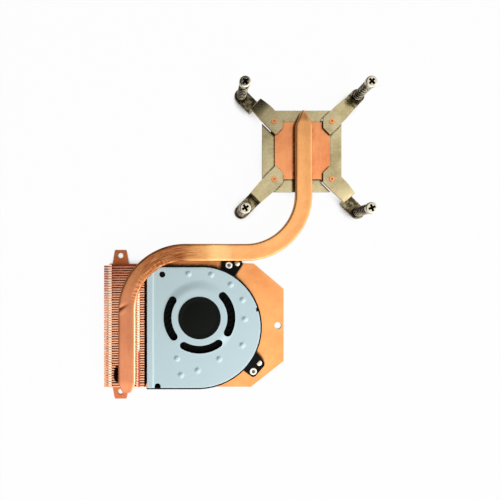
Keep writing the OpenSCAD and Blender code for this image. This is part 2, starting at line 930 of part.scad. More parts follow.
module motor_board() {
    color("#2f5d3a")
        in_blower_frame()
            ring(hub_under - board_t, hub_under, board_r, sleeve_r);
}

// Stator: a laminated star with broad tooth heads, and a coil round each tooth
head_w = 6.4;
head_depth = 0.9;

module stator_star() {
    circle(r = sleeve_r + 1.2);
    for (k = [0:tooth_count - 1])
        rotate([0, 0, k * 360 / tooth_count]) {
            translate([0, -tooth_w / 2])
                square([stator_r - head_depth / 2, tooth_w]);
            intersection() {
                difference() {
                    circle(r = stator_r);
                    circle(r = stator_r - head_depth);
                }
                translate([0, -head_w / 2])
                    square([stator_r, head_w]);
            }
        }
}

module stator_core() {
    color("#6f6f6f")
        in_blower_frame()
            difference() {
                translate([0, 0, stator_z0])
                    linear_extrude(stator_z1 - stator_z0)
                        stator_star();
                translate([0, 0, stator_z0 - through])
                    cylinder(h = stator_z1 - stator_z0 + 2 * through, r = sleeve_r);
            }
}

module stator_coils() {
    coil_x0 = sleeve_r + 2;
    coil_l = stator_r - head_depth - 0.2 - coil_x0;
    core_h = stator_z1 - stator_z0;
    color("#b0602c")
        in_blower_frame()
            for (k = [0:tooth_count - 1])
                rotate([0, 0, k * 360 / tooth_count])
                    difference() {
                        translate([coil_x0, -tooth_w / 2 - coil_t, stator_z0 - coil_t])
                            cube([coil_l, tooth_w + 2 * coil_t, core_h + 2 * coil_t]);
                        translate([coil_x0 - through, -tooth_w / 2, stator_z0])
                            cube([coil_l + 2 * through, tooth_w, core_h]);
                    }
}

base_plate();
fin_stack();
heat_pipe();
contact_block();
spring_frame();
arm(0);  // arm_1
arm(1);  // arm_2
arm(2);  // arm_3
arm(3);  // arm_4
screw(0);  // screw_1
screw(1);  // screw_2
screw(2);  // screw_3
screw(3);  // screw_4
spring(0);  // spring_1
spring(1);  // spring_2
spring(2);  // spring_3
spring(3);  // spring_4
clip(0);  // clip_1
clip(1);  // clip_2
clip(2);  // clip_3
clip(3);  // clip_4
fan_wall();
fan_cover();
hub_disc();
wall_screw(0);  // wall_screw_1
wall_screw(1);  // wall_screw_2
eyelet(0);  // eyelet_1
eyelet(1);  // eyelet_2
impeller();
rotor_ring();
magnet_ring();
shaft();
bearing_sleeve();
motor_board();
stator_core();
stator_coils();
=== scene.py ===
"""Dressed model of a flat computer heatsink: copper block, sprung arms, heat pipe, fins and blower.

Each sub-assembly is a class. Its sizes are dataclass fields in millimetres, its methods work out
surfaces as numpy arrays, and its dress() gives the pieces their materials and bodies and hides the
CAD nodes that they replace. Finishes are frozen dataclasses that build procedural materials from
shared node groups.
"""

import logging
import math
from dataclasses import dataclass
from enum import Enum

import bmesh
import bpy
import numpy as np
from numpy.typing import NDArray
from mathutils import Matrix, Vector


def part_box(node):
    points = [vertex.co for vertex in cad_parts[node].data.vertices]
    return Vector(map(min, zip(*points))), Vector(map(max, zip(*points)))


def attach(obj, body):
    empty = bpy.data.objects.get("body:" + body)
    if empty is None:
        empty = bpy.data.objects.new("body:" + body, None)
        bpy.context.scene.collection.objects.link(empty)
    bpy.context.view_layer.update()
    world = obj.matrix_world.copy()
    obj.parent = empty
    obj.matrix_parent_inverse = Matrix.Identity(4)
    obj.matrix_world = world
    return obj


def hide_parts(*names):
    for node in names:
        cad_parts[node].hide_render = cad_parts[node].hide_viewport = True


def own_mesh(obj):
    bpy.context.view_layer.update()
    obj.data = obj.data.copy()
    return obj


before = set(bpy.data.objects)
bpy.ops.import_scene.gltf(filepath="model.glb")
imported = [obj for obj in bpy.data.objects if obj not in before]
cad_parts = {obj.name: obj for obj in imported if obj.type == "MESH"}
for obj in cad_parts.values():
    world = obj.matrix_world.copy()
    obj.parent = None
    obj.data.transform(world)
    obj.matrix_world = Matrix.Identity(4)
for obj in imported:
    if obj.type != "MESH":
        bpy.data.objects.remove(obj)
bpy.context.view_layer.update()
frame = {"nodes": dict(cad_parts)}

logging.basicConfig(level=logging.INFO, format="%(message)s")
LOG = logging.getLogger("heatsink")

Array = NDArray[np.float64]
Index = NDArray[np.int64]
Socket = bpy.types.NodeSocket
Pair = tuple[float, float]
Triple = tuple[float, float, float]
Colour = tuple[float, float, float]
MM = 0.001
FULL_TURN = 2 * math.pi
WELD = 1e-7
# Signs of x and y at the corners of the screws' square, in the order of the screws
CORNERS = ((1, 1), (-1, 1), (-1, -1), (1, -1))
# The blower's axis in plan, in millimetres
BLOWER_AT = (-64.6, -104.7)
# The dent in the fins: the place of its middle, then its half width and half depth
FIN_DENT = (-115.7, -139.9, 2.6, 5.4)


# Colours and small formulas


def paint(red: float, green: float, blue: float) -> tuple[float, float, float, float]:
    """Turns a colour of 0 to 255 a channel, as a screen shows it, into Blender's linear colour."""
    shown = np.array([red, green, blue]) / 255
    linear = np.where(shown <= 0.04045, shown / 12.92, ((shown + 0.055) / 1.055) ** 2.4)
    return (*linear.tolist(), 1.0)


def ease(x: Array, low: float, high: float) -> Array:
    """Smooth step: 0 below low, 1 above high, and 3t^2 - 2t^3 between them."""
    t = np.clip((x - low) / (high - low), 0, 1)
    return t * t * (3 - 2 * t)


def hump(x: Array, middle: float, reach: float) -> Array:
    """Bell curve: e to the power of minus the squared distance from the middle over the reach."""
    return np.exp(-(((x - middle) / reach) ** 2))


def polar(r: object, turn: object) -> Array:
    """Points at a distance and a turn in radians: r times the turn's cosine and sine."""
    return np.stack([r * np.cos(turn), r * np.sin(turn)], -1)


# Meshes


def grid_quads(rows: int, cols: int, wrap: bool) -> Index:
    """Quads between the neighbouring rows of a grid of points.

    Args:
        rows: Number of rows.
        cols: Number of points in a row.
        wrap: Whether the last point of a row joins the first.

    Returns:
        One row of four point numbers for each quad.
    """
    i = np.arange(rows - 1)[:, None]
    j = np.arange(cols if wrap else cols - 1)[None, :]
    k = (j + 1) % cols
    near, far = i * cols, (i + 1) * cols
    return np.stack([near + j, near + k, far + k, far + j], -1).reshape(-1, 4)


def enclosed_volume(points: Array, faces: list[Index]) -> float:
    """Volume inside a closed surface: a sixth of the sum of the triple products of its fans."""
    total = 0.0
    for block in faces:
        for k in range(1, block.shape[1] - 1):
            a, b, c = points[block[:, 0]], points[block[:, k]], points[block[:, k + 1]]
            total += float(np.einsum("ij,ij->i", a, np.cross(b, c)).sum()) / 6
    return total


def make_piece(
    name: str, points: Array, *faces: Index, crease: float = 35.0, layers: dict[str, Array] | None = None
) -> bpy.types.Object:
    """Puts a closed surface into a mesh whose faces point outwards.

    Args:
        name: The piece's name.
        points: Its points in millimetres, one a row.
        faces: Blocks of faces, each with one number of corners.
        crease: Angle in degrees past which an edge stays sharp.
        layers: Numbers that the points carry, by name.

    Returns:
        The new object, at the origin.
    """
    blocks = [np.asarray(block) for block in faces]
    if enclosed_volume(points, blocks) < 0:
        blocks = [block[:, ::-1] for block in blocks]
    mesh = bpy.data.meshes.new(name)
    mesh.from_pydata((points * MM).tolist(), [], [f for block in blocks for f in block.tolist()])
    piece = bpy.data.objects.new(name, mesh)
    bpy.context.scene.collection.objects.link(piece)
    for label, values in (layers or {}).items():
        mesh.attributes.new(label, "FLOAT", "POINT").data.foreach_set("value", values.astype(np.float32).ravel())
    weld(mesh)
    mesh.shade_smooth()
    mesh.set_sharp_from_angle(angle=math.radians(crease))
    return piece


def tube(
    name: str, points: Array, capped: bool = False, crease: float = 35.0, layers: dict[str, Array] | None = None
) -> bpy.types.Object:
    """Piece over rows of closed rings of points.

    Args:
        name: The piece's name.
        points: Rows of rings of points in millimetres.
        capped: Whether a flat face closes each end.
        crease: Angle in degrees past which an edge stays sharp.
        layers: Numbers that the points carry, by name.

    Returns:
        The piece.
    """
    rows, around = points.shape[:2]
    ring = np.arange(around)[None, :]
    ends = (ring[:, ::-1], ring + (rows - 1) * around) if capped else ()
    quads = grid_quads(rows, around, True)
    return make_piece(name, points.reshape(-1, 3), quads, *ends, crease=crease, layers=layers)


def weld(mesh: bpy.types.Mesh) -> None:
    """Merges points that share a place, which closes poles and seams."""
    work = bmesh.new()
    work.from_mesh(mesh)
    bmesh.ops.remove_doubles(work, verts=work.verts, dist=WELD)
    work.to_mesh(mesh)
    work.free()


def bake_modifiers(piece: bpy.types.Object) -> None:
    """Makes what the modifiers show the piece's own mesh."""
    shown = piece.evaluated_get(bpy.context.evaluated_depsgraph_get())
    mesh = bpy.data.meshes.new_from_object(shown)
    piece.modifiers.clear()
    piece.data = mesh


def cut_plan(piece: bpy.types.Object, outline: Array, low: float, high: float, way: str = "DIFFERENCE") -> None:
    """Cuts a piece exactly with a solid that stands on an outline, between two levels.

    Args:
        piece: The piece to cut.
        outline: The solid's outline in plan.
        low: Its lower level.
        high: Its upper level.
        way: DIFFERENCE takes the solid away, INTERSECT keeps what lies inside it.
    """
    tool = prism("cutter", outline, low, high)
    cut = piece.modifiers.new("cut", "BOOLEAN")
    cut.operation, cut.solver, cut.object = way, "EXACT", tool
    bake_modifiers(piece)
    bpy.data.objects.remove(tool)


def revolve(name: str, profile: Array, centre: Pair, steps: int, closed: bool = False) -> bpy.types.Object:
    """Turns a profile of radius and height about an upright axis.

    Args:
        name: The piece's name.
        profile: Rows of radius and height, from the axis back to the axis, or a closed ring.
        centre: The axis's place.
        steps: Points in a full turn.
        closed: Whether the last row of the profile joins the first.

    Returns:
        The piece: each row is carried to radius times cosine and sine of the turn.
    """
    turn = np.linspace(0, FULL_TURN, steps, endpoint=False)
    rows = np.vstack([profile, profile[:1]]) if closed else profile
    plan = polar(rows[:, :1], turn) + centre
    height = np.broadcast_to(rows[:, 1:, None], (len(rows), steps, 1))
    return tube(name, np.concatenate([plan, height], -1))


def prism(name: str, outline: Array, low: float, high: float) -> bpy.types.Object:
    """Solid that stands on an outline in plan, between two levels."""
    rings = [np.c_[outline, np.full(len(outline), level)] for level in (low, high)]
    return tube(name, np.array(rings), capped=True)


def softened(node: str, name: str, width: float, segments: int = 2) -> bpy.types.Object:
    """Copy of a CAD node whose sharp edges are rounded.

    Args:
        node: The node that is copied. It isn't changed.
        name: The copy's name.
        width: Width of the rounding in millimetres.
        segments: Faces across the rounding.

    Returns:
        The copy, with its triangles merged into flat faces before its edges are rounded.
    """
    mesh = frame["nodes"][node].data.copy()
    work = bmesh.new()
    work.from_mesh(mesh)
    bmesh.ops.remove_doubles(work, verts=work.verts, dist=1e-6)
    bmesh.ops.dissolve_limit(work, angle_limit=math.radians(1.0), verts=work.verts, edges=work.edges)
    work.to_mesh(mesh)
    work.free()
    piece = bpy.data.objects.new(name, mesh)
    bpy.context.scene.collection.objects.link(piece)
    round_edges(piece, width, segments)
    return piece


def round_edges(piece: bpy.types.Object, width: float, segments: int = 2) -> None:
    """Rounds a piece's sharp edges.

    Args:
        piece: The piece, whose faces are flat.
        width: Width of the rounding in millimetres.
        segments: Faces across the rounding.
    """
    rounding = piece.modifiers.new("rounding", "BEVEL")
    rounding.width, rounding.segments = width * MM, segments
    rounding.limit_method, rounding.angle_limit = "ANGLE", math.radians(35)
    rounding.use_clamp_overlap = True
    bake_modifiers(piece)
    flatten_shading(piece)


def flatten_shading(piece: bpy.types.Object) -> None:
    """Lets the large faces set the normals, so that flats look flat and roundings look round."""
    piece.data.shade_smooth()
    piece.data.set_sharp_from_angle(angle=math.radians(40))
    evened = piece.modifiers.new("evened", "WEIGHTED_NORMAL")
    evened.keep_sharp, evened.weight = True, 100
    bake_modifiers(piece)


def hand_over(piece: bpy.types.Object, body: str, slot: str, finish: "Finish", *nodes: str) -> None:
    """Gives a finished piece its material, its body and the nodes that it stands for."""
    piece.data.materials.clear()
    piece.data.materials.append(finish.material())
    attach(piece, body)
    if nodes:
        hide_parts(*nodes)
    stands_for = ", ".join(nodes) or "no node"
    LOG.info("%s rides on %s and stands for %s: %d faces", piece.name, body, stands_for, len(piece.data.polygons))


def dress_node(node: str, finish: "Finish") -> None:
    """Gives a CAD node that stays as it is its material."""
    target = frame["nodes"][node]
    if not target.material_slots:
        target.data.materials.append(finish.material())
    for place in target.material_slots:
        place.material = finish.material()
    LOG.info("%s keeps its CAD shape, in %s", node, finish.material().name)


# Shader graphs


@dataclass(frozen=True)
class Value:
    """A socket of a graph. Signs of arithmetic between values and numbers add Math nodes."""

    graph: "Graph"
    socket: Socket

    def __add__(self, other: object) -> "Value":
        """Sum."""
        return self.graph.math("ADD", self, other)

    def __sub__(self, other: object) -> "Value":
        """Difference."""
        return self.graph.math("SUBTRACT", self, other)

    def __rsub__(self, other: object) -> "Value":
        """Difference of a number and this value."""
        return self.graph.math("SUBTRACT", other, self)

    def __mul__(self, other: object) -> "Value":
        """Product."""
        return self.graph.math("MULTIPLY", self, other)

    def __truediv__(self, other: object) -> "Value":
        """Quotient."""
        return self.graph.math("DIVIDE", self, other)

    def __pow__(self, other: object) -> "Value":
        """Power."""
        return self.graph.math("POWER", self, other)

    def __abs__(self) -> "Value":
        """Distance from 0."""
        return self.graph.math("ABSOLUTE", self)

    def __gt__(self, other: object) -> "Value":
        """1 where this value is the greater one, 0 elsewhere."""
        return self.graph.math("GREATER_THAN", self, other)

    def __lt__(self, other: object) -> "Value":
        """1 where this value is the smaller one, 0 elsewhere."""
        return self.graph.math("LESS_THAN", self, other)


class Graph:
    """A node tree that is being wired, with short calls for the nodes that are used here."""

    def __init__(self, tree: bpy.types.NodeTree) -> None:
        """Keeps the tree and empties it."""
        self.tree = tree
        tree.nodes.clear()

    def feed(self, socket: Socket, value: object) -> None:
        """Links a socket to another one, or sets its value."""
        value = value.socket if isinstance(value, Value) else value
        if isinstance(value, bpy.types.NodeSocket):
            self.tree.links.new(value, socket)
        else:
            socket.default_value = value

    def add(self, kind: str, feeds: dict[str | int, object] | None = None, **settings: object) -> bpy.types.Node:
        """Adds one node.

        Args:
            kind: Its type's name without the leading ShaderNode.
            feeds: Values or sockets for its inputs, by name or number.
            settings: Values for its properties.

        Returns:
            The node.
        """
        node = self.tree.nodes.new("ShaderNode" + kind)
        for key, value in settings.items():
            setattr(node, key, value)
        for key, value in (feeds or {}).items():
            self.feed(node.inputs[key], value)
        return node

    def math(self, operation: str, a: object, b: object = 0.0, clamp: bool = False) -> Value:
        """Result of one Math node."""
        return Value(self, self.add("Math", {0: a, 1: b}, operation=operation, use_clamp=clamp).outputs[0])

    def total(self, a: object, b: object) -> Value:
        """Sum of two numbers, held between 0 and 1."""
        return self.math("ADD", a, b, clamp=True)

    def larger(self, a: object, b: object) -> Value:
        """The larger of two numbers."""
        return self.math("MAXIMUM", a, b)

    def swing(self, value: Value, reach: float) -> Value:
        """A noise of 0 to 1, moved to lie about 0 and widened to a reach."""
        return (value - 0.5) * reach

    def within(self, value: Value, middle: float, reach: float) -> Value:
        """1 where a value lies nearer to a middle than a reach, 0 elsewhere."""
        return abs(value - middle) < reach

    def far(self, x: Value, y: Value) -> Value:
        """Distance in plan: the root of the sum of two squares."""
        return self.math("SQRT", x * x + y * y)

    def dot(self, a: object, b: object) -> Value:
        """Dot product of two vectors."""
        return Value(self, self.add("VectorMath", {0: a, 1: b}, operation="DOT_PRODUCT").outputs["Value"])

    def remap(self, value: object, low: float, high: float, to_low: float = 0.0, to_high: float = 1.0) -> Value:
        """Value carried from one range to another with a smooth step, and held at its ends."""
        ranges = {"Value": value, "From Min": low, "From Max": high, "To Min": to_low, "To Max": to_high}
        return Value(self, self.add("MapRange", ranges, interpolation_type="SMOOTHSTEP").outputs[0])

    def mix(self, share: object, first: object, second: object) -> Value:
        """Mix of two colours. Three numbers are a colour as a screen shows it."""
        first, second = (paint(*c) if isinstance(c, tuple) and len(c) == 3 else c for c in (first, second))
        return Value(self, self.add("Mix", {0: share, 6: first, 7: second}, data_type="RGBA").outputs[2])

    def blend(self, share: object, first: object, second: object) -> Value:
        """Mix of two numbers."""
        return Value(self, self.add("Mix", {0: share, 2: first, 3: second}, data_type="FLOAT").outputs[0])

    def place(self) -> Value:
        """Object coordinates in millimetres."""
        here = self.add("TexCoord").outputs["Object"]
        return Value(self, self.add("VectorMath", {0: here, "Scale": 1 / MM}, operation="SCALE").outputs[0])

    def split(self, vector: object) -> tuple[Value, Value, Value]:
        """The three parts of a vector."""
        return tuple(Value(self, part) for part in self.add("SeparateXYZ", {0: vector}).outputs)

    def noise(self, vector: object, scale: object, detail: float = 4.0, rough: float = 0.55) -> Value:
        """Cloudy noise of 0 to 1."""
        feeds = {"Vector": vector, "Scale": scale, "Detail": detail, "Roughness": rough}
        return Value(self, self.add("TexNoise", feeds).outputs[0])

    def attribute(self, name: str) -> Value:
        """Number that the mesh carries at its points."""
        return Value(self, self.add("Attribute", attribute_name=name).outputs["Fac"])

    def effect(self, tree: bpy.types.NodeTree, **feeds: object) -> Value:
        """Places a node group, feeds its named inputs and gives its output."""
        node = self.tree.nodes.new("ShaderNodeGroup")
        node.node_tree = tree
        for key, value in feeds.items():
            self.feed(node.inputs[key], value)
        return Value(self, node.outputs[0])

    def surface(
        self, colour: Value, roughness: Value, relief: Value, depth: float,
        metallic: object = 1.0, gloss: float = 0.5, strength: float = 0.5,
    ) -> None:
        """Ends a material with its surface shader.

        Args:
            colour: Base colour.
            roughness: Roughness.
            relief: Height of the fine relief, from 0 to 1.
            depth: Height in millimetres that a relief of 1 stands for.
            metallic: Share of metal.
            gloss: Strength of the shine of what isn't metal.
            strength: Strength of the relief.
        """
        bump = self.add("Bump", {"Height": relief, "Distance": depth * MM, "Strength": strength})
        shader = self.add("BsdfPrincipled", {
            "Base Color": colour, "Roughness": roughness, "Metallic": metallic,
            "Specular IOR Level": gloss, "Normal": bump.outputs[0],
        })
        self.add("OutputMaterial", {"Surface": shader.outputs[0]})


def start_group(name: str, inputs: dict[str, object], output: str) -> tuple[Graph, dict[str, Value], Socket]:
    """Begins a node group with named sockets.

    Args:
        name: The group's name.
        inputs: First value by the input's name: a number, or three for a vector.
        output: The name of its one output, a number.

    Returns:
        The graph, the inputs' values by name, and the socket that takes the output.
    """
    tree = bpy.data.node_groups.new(name, "ShaderNodeTree")
    graph = Graph(tree)
    for label, value in inputs.items():
        kind = "NodeSocketVector" if isinstance(value, tuple) else "NodeSocketFloat"
        tree.interface.new_socket(name=label, in_out="INPUT", socket_type=kind).default_value = value
    tree.interface.new_socket(name=output, in_out="OUTPUT", socket_type="NodeSocketFloat")
    entry = tree.nodes.new("NodeGroupInput")
    leave = tree.nodes.new("NodeGroupOutput")
    return graph, {label: Value(graph, entry.outputs[label]) for label in inputs}, leave.inputs[output]


@dataclass(frozen=True)
class Effects:
    """Node groups that more than one finish uses."""

    brushed: bpy.types.NodeTree
    tarnish: bpy.types.NodeTree
    wear: bpy.types.NodeTree
    specks: bpy.types.NodeTree
    crevice: bpy.types.NodeTree

    @classmethod
    def build(cls) -> "Effects":
        """Builds the groups."""
        return cls(cls.brushed_group(), cls.tarnish_group(), cls.wear_group(), cls.specks_group(), cls.crevice_group())

    @staticmethod
    def brushed_group() -> bpy.types.NodeTree:
        """Fine streaks: noise on a place that is squeezed along the streaks."""
        inputs = {"Place": (0, 0, 0), "Squeeze": (1, 1, 1), "Scale": 4.0}
        graph, given, leave = start_group("brushed_streaks", inputs, "Streaks")
        squeezed = graph.add("VectorMath", {0: given["Place"], 1: given["Squeeze"]}, operation="MULTIPLY").outputs[0]
        graph.feed(leave, graph.noise(squeezed, given["Scale"], 5.0, 0.6))
        return graph.tree

    @staticmethod
    def tarnish_group() -> bpy.types.NodeTree:
        """Patches of tarnish: a wide noise that is broken up by a finer one, then cut at a level."""
        inputs = {"Place": (0, 0, 0), "Scale": 0.08, "Cover": 0.5, "Soft": 0.2}
        graph, given, leave = start_group("tarnish_patches", inputs, "Mask")
        wide = graph.noise(given["Place"], given["Scale"], 3.0)
        fine = graph.noise(given["Place"], given["Scale"] * 7.3, 4.0)
        both = wide * 0.75 + fine * 0.25
        level = 0.75 - given["Cover"] * 0.5
        risen = (both - level) / given["Soft"]
        graph.feed(leave, graph.total(risen, 0.5))
        return graph.tree

    @staticmethod
    def wear_group() -> bpy.types.NodeTree:
        """Worn edges: how far the rounded normal leans from the true one, broken up by noise."""
        inputs = {"Place": (0, 0, 0), "Radius": 0.0003, "Scale": 1.5}
        graph, given, leave = start_group("worn_edges", inputs, "Mask")
        rounded = graph.add("Bevel", {"Radius": given["Radius"]}, samples=4).outputs[0]
        along = graph.dot(rounded, graph.add("NewGeometry").outputs["Normal"])
        broken = graph.remap(graph.noise(given["Place"], given["Scale"]), 0.3, 0.6, 0.4, 1.0)
        graph.feed(leave, graph.remap(1.0 - along, 0.01, 0.2) * broken)
        return graph.tree

    @staticmethod
    def crevice_group() -> bpy.types.NodeTree:
        """Painted shade in crevices: the places that see little of their surroundings within a short reach."""
        inputs = {"Place": (0, 0, 0), "Reach": 0.0025}
        graph, given, leave = start_group("crevice_dirt", inputs, "Mask")
        open_share = graph.add("AmbientOcclusion", {"Distance": given["Reach"]}, samples=8).outputs["AO"]
        broken = graph.remap(graph.noise(given["Place"], 0.5), 0.3, 0.6, 0.6, 1.0)
        graph.feed(leave, graph.remap(open_share, 0.58, 0.86, 1.0, 0.0) * broken)
        return graph.tree

    @staticmethod
    def specks_group() -> bpy.types.NodeTree:
        """Small specks: the near parts of scattered cells, kept where a noise is high."""
        inputs = {"Place": (0, 0, 0), "Scale": 0.9, "Size": 0.16}
        graph, given, leave = start_group("dust_specks", inputs, "Mask")
        cells = graph.add("TexVoronoi", {"Vector": given["Place"], "Scale": given["Scale"]})
        near = graph.math("LESS_THAN", cells.outputs["Distance"], given["Size"])
        graph.feed(leave, near * (graph.noise(given["Place"], 0.11) > 0.55))
        return graph.tree


EFFECTS = Effects.build()
# Linear colour of painted shade, near black, for crevices, recesses and gaps
PAINTED_SHADE_BLACK = (0.005, 0.004, 0.003, 1.0)


def new_material(name: str) -> tuple[bpy.types.Material, Graph]:
    """An empty material and its graph."""
    material = bpy.data.materials.new(name)
    material.use_nodes = True
    return material, Graph(material.node_tree)


@dataclass(frozen=True)
class Metal:
    """Bare or plated metal with streaks, tarnish and worn edges."""

    name: str
    bright: Colour
    dull: Colour
    rough: float = 0.34
    cover: float = 0.5
    patch: float = 0.06
    squeeze: Triple = (1.0, 0.05, 1.0)
    streak_scale: float = 3.0
    streak_depth: float = 0.012
    streak_tint: float = 0.35
    wear: float = 0.5
    # Name of the mesh layer that carries painted shade
    dirt: str = ""
    # Share of painted shade in crevices
    crevice: float = 0.0
    stain: Colour | None = None
    stain_x: Pair = (-106.0, -98.0)
    # Share of painted shade inside the blower, within a radius of its axis and above a level
    blower_shade: float = 0.0
    blower_shade_r: float = 31.0
    blower_shade_z: float = -7.7
    mouth_x: Pair = (-17.0, 16.0)
    mouth_y: Pair = (-6.2, 36.0)
    # Painted shade and dark reflection on the arms' steps and feet, past a distance from the block's middle
    foot_shade_from: float = 0.0
    foot_shade: Colour = (52, 44, 33)

    def build(self) -> bpy.types.Material:
        """Builds the material.

        Returns:
            Streaks and tarnish mix the two colours and roughen the surface, and worn edges are
            brighter and smoother. Where they are asked for, a stain covers one end of the part,
            painted shade lies on the upper face inside the blower and in its mouth, painted shade and
            dark reflection past a distance from the middle of the block, and painted shade where the
            mesh says so and in crevices.
        """
        material, graph = new_material(self.name)
        place = graph.place()
        x, y, z = graph.split(place)
        streaks = graph.effect(EFFECTS.brushed, Place=place, Squeeze=self.squeeze, Scale=self.streak_scale)
        patches = graph.effect(EFFECTS.tarnish, Place=place, Scale=self.patch, Cover=self.cover, Soft=0.25)
        worn = graph.effect(EFFECTS.wear, Place=place)
        tint = graph.remap(streaks, 0.35, 0.7) * self.streak_tint
        share = graph.total(patches * 0.75, tint)
        colour = graph.mix(share, self.bright, self.dull)
        polished = tuple(min(1.0, c * 1.1 + 0.02) for c in paint(*self.bright)[:3]) + (1.0,)
        colour = graph.mix(worn * self.wear, colour, polished)
        if self.stain:
            stained = graph.remap(x + graph.swing(streaks, 6.0), *self.stain_x, 1.0, 0.0)
            colour = graph.mix(stained * 0.8, colour, self.stain)
        # Painted shade on the plate's upper face inside the blower and in its mouth
        if self.blower_shade:
            across, up = x - BLOWER_AT[0], y - BLOWER_AT[1]
            mouth = graph.within(across, *self.mouth_x) * graph.within(up, *self.mouth_y)
            inside = graph.larger(mouth, graph.far(across, up) < self.blower_shade_r)
            inside = inside * (z > self.blower_shade_z)
            colour = graph.mix(inside * self.blower_shade, colour, PAINTED_SHADE_BLACK)
        # Painted shade and dark reflection on the arms' steps and feet, broken into streaks
        if self.foot_shade_from:
            foot_shade_streaks = graph.remap(graph.noise(place, 0.35, 4.0, 0.6), 0.4, 0.62, 0.95, 0.35)
            foot_shade_share = graph.remap(graph.far(x, y), self.foot_shade_from - 1.2, self.foot_shade_from) * foot_shade_streaks
            colour = graph.mix(foot_shade_share, colour, self.foot_shade)
        # Painted shade, black, where the mesh's layer says so
        if self.dirt:
            colour = graph.mix(graph.attribute(self.dirt), colour, PAINTED_SHADE_BLACK)
        # Painted shade in crevices, from ambient occlusion
        if self.crevice:
            hidden = graph.effect(EFFECTS.crevice, Place=place)
            colour = graph.mix(hidden * self.crevice, colour, PAINTED_SHADE_BLACK)
        roughness = share * 0.12 + streaks * 0.1
        roughness = roughness + (self.rough - 0.06) - worn * 0.08
        graph.surface(colour, roughness, streaks, self.streak_depth, strength=0.6)
        return material


@dataclass(frozen=True)
class Coat:
    """Paint or moulded plastic with a fine grain, specks of dust and rubbed edges."""

    name: str
    main: Colour
    second: Colour
    paler: Colour
    rough: float = 0.5
    metallic: float = 0.0
    grain: float = 6.0
    grain_depth: float = 0.008
    cloud: float = 0.05
    dust: float = 0.12
    wear: float = 0.4
    gloss: float = 0.5

    def build(self) -> bpy.types.Material:
        """Builds the material: clouds mix two close colours, and edges and dust lie over them."""
        material, graph = new_material(self.name)
        place = graph.place()
        cloud = graph.effect(EFFECTS.tarnish, Place=place, Scale=self.cloud, Cover=0.5, Soft=0.5)
        grain = graph.noise(place, self.grain, 3.0)
        worn = graph.effect(EFFECTS.wear, Place=place, Radius=0.00025)
        dust = graph.effect(EFFECTS.specks, Place=place, Size=self.dust)
        share = cloud * 0.7 + grain * 0.3
        colour = graph.mix(share, self.main, self.second)
        colour = graph.mix(worn * self.wear, colour, self.paler)
        colour = graph.mix(dust * 0.35, colour, self.paler)
        roughness = grain * 0.16 + (self.rough - 0.08)
        graph.surface(colour, roughness, grain, self.grain_depth, self.metallic, self.gloss)
        return material


@dataclass(frozen=True)
class PipeCopper:
    """Copper of the drawn and flattened heat pipe. It follows the pipe's own run and width."""

    name: str = "heat_pipe_copper"
    light: Colour = (255, 184, 116)
    brown: Colour = (148, 68, 35)
    pink: Colour = (226, 142, 104)
    # Colour of the painted highlight where the pipe climbs
    climb_highlight: Colour = (255, 206, 140)
    # Colour of the painted highlight along the pipe's right edge on the fins
    paler: Colour = (255, 236, 196)
    rough: float = 0.33
    climb_highlight_from: Pair = (116.0, 118.5)
    climb_highlight_to: Pair = (129.0, 137.0)
    brown_from: Pair = (134.0, 150.0)
    brown_to: Pair = (168.0, 196.0)
    pink_from: Pair = (165.0, 200.0)
    edge_highlight_from: Pair = (190.0, 200.0)
    edge_highlight_side: Pair = (-0.94, -0.84)

    def build(self) -> bpy.types.Material:
        """Builds the material.

        Returns:
            The colour goes along the run from light orange over the block, past a painted highlight
            where the pipe climbs, through a brown bend that shows drawing marks, to pinkish copper with a
            painted highlight along its right edge on the fins. Streaks run along the pipe.
        """
        material, graph = new_material(self.name)
        run, side = graph.attribute("run"), graph.attribute("side")
        along = graph.add("CombineXYZ", {0: run * 0.05, 1: side * 6.0}).outputs[0]
        streaks = graph.noise(along, 2.6, 5.0, 0.65)
        patches = graph.effect(EFFECTS.tarnish, Place=graph.place(), Scale=0.07, Cover=0.45, Soft=0.3)
        wander = run + graph.swing(streaks, 16.0)
        # Painted highlight on the climb, where the slope faces the light
        climb = graph.remap(run, *self.climb_highlight_from) * graph.remap(wander, *self.climb_highlight_to, 1.0, 0.0)
        bend = graph.remap(wander, *self.brown_from) * graph.remap(wander, *self.brown_to, 1.0, 0.0)
        colour = graph.mix(climb * 0.7, self.light, self.climb_highlight)
        colour = graph.mix(graph.remap(wander, *self.pink_from) * 0.85, colour, self.pink)
        marks = graph.remap(streaks, 0.36, 0.62, 0.35, 1.0)
        colour = graph.mix(bend * marks, colour, self.brown)
        haze = patches * 0.22 + graph.remap(streaks, 0.45, 0.7) * 0.16
        colour = graph.mix(haze, colour, self.brown)
        # Painted highlight along the pipe's right edge over the fins
        edge = graph.remap(side, *self.edge_highlight_side, 1.0, 0.0) * graph.remap(wander, *self.edge_highlight_from)
        colour = graph.mix(edge * 0.85, colour, self.paler)
        roughness = streaks * 0.16 + (self.rough - 0.05)
        graph.surface(colour, roughness, streaks * graph.blend(bend, 0.35, 1.0), 0.05)
        return material


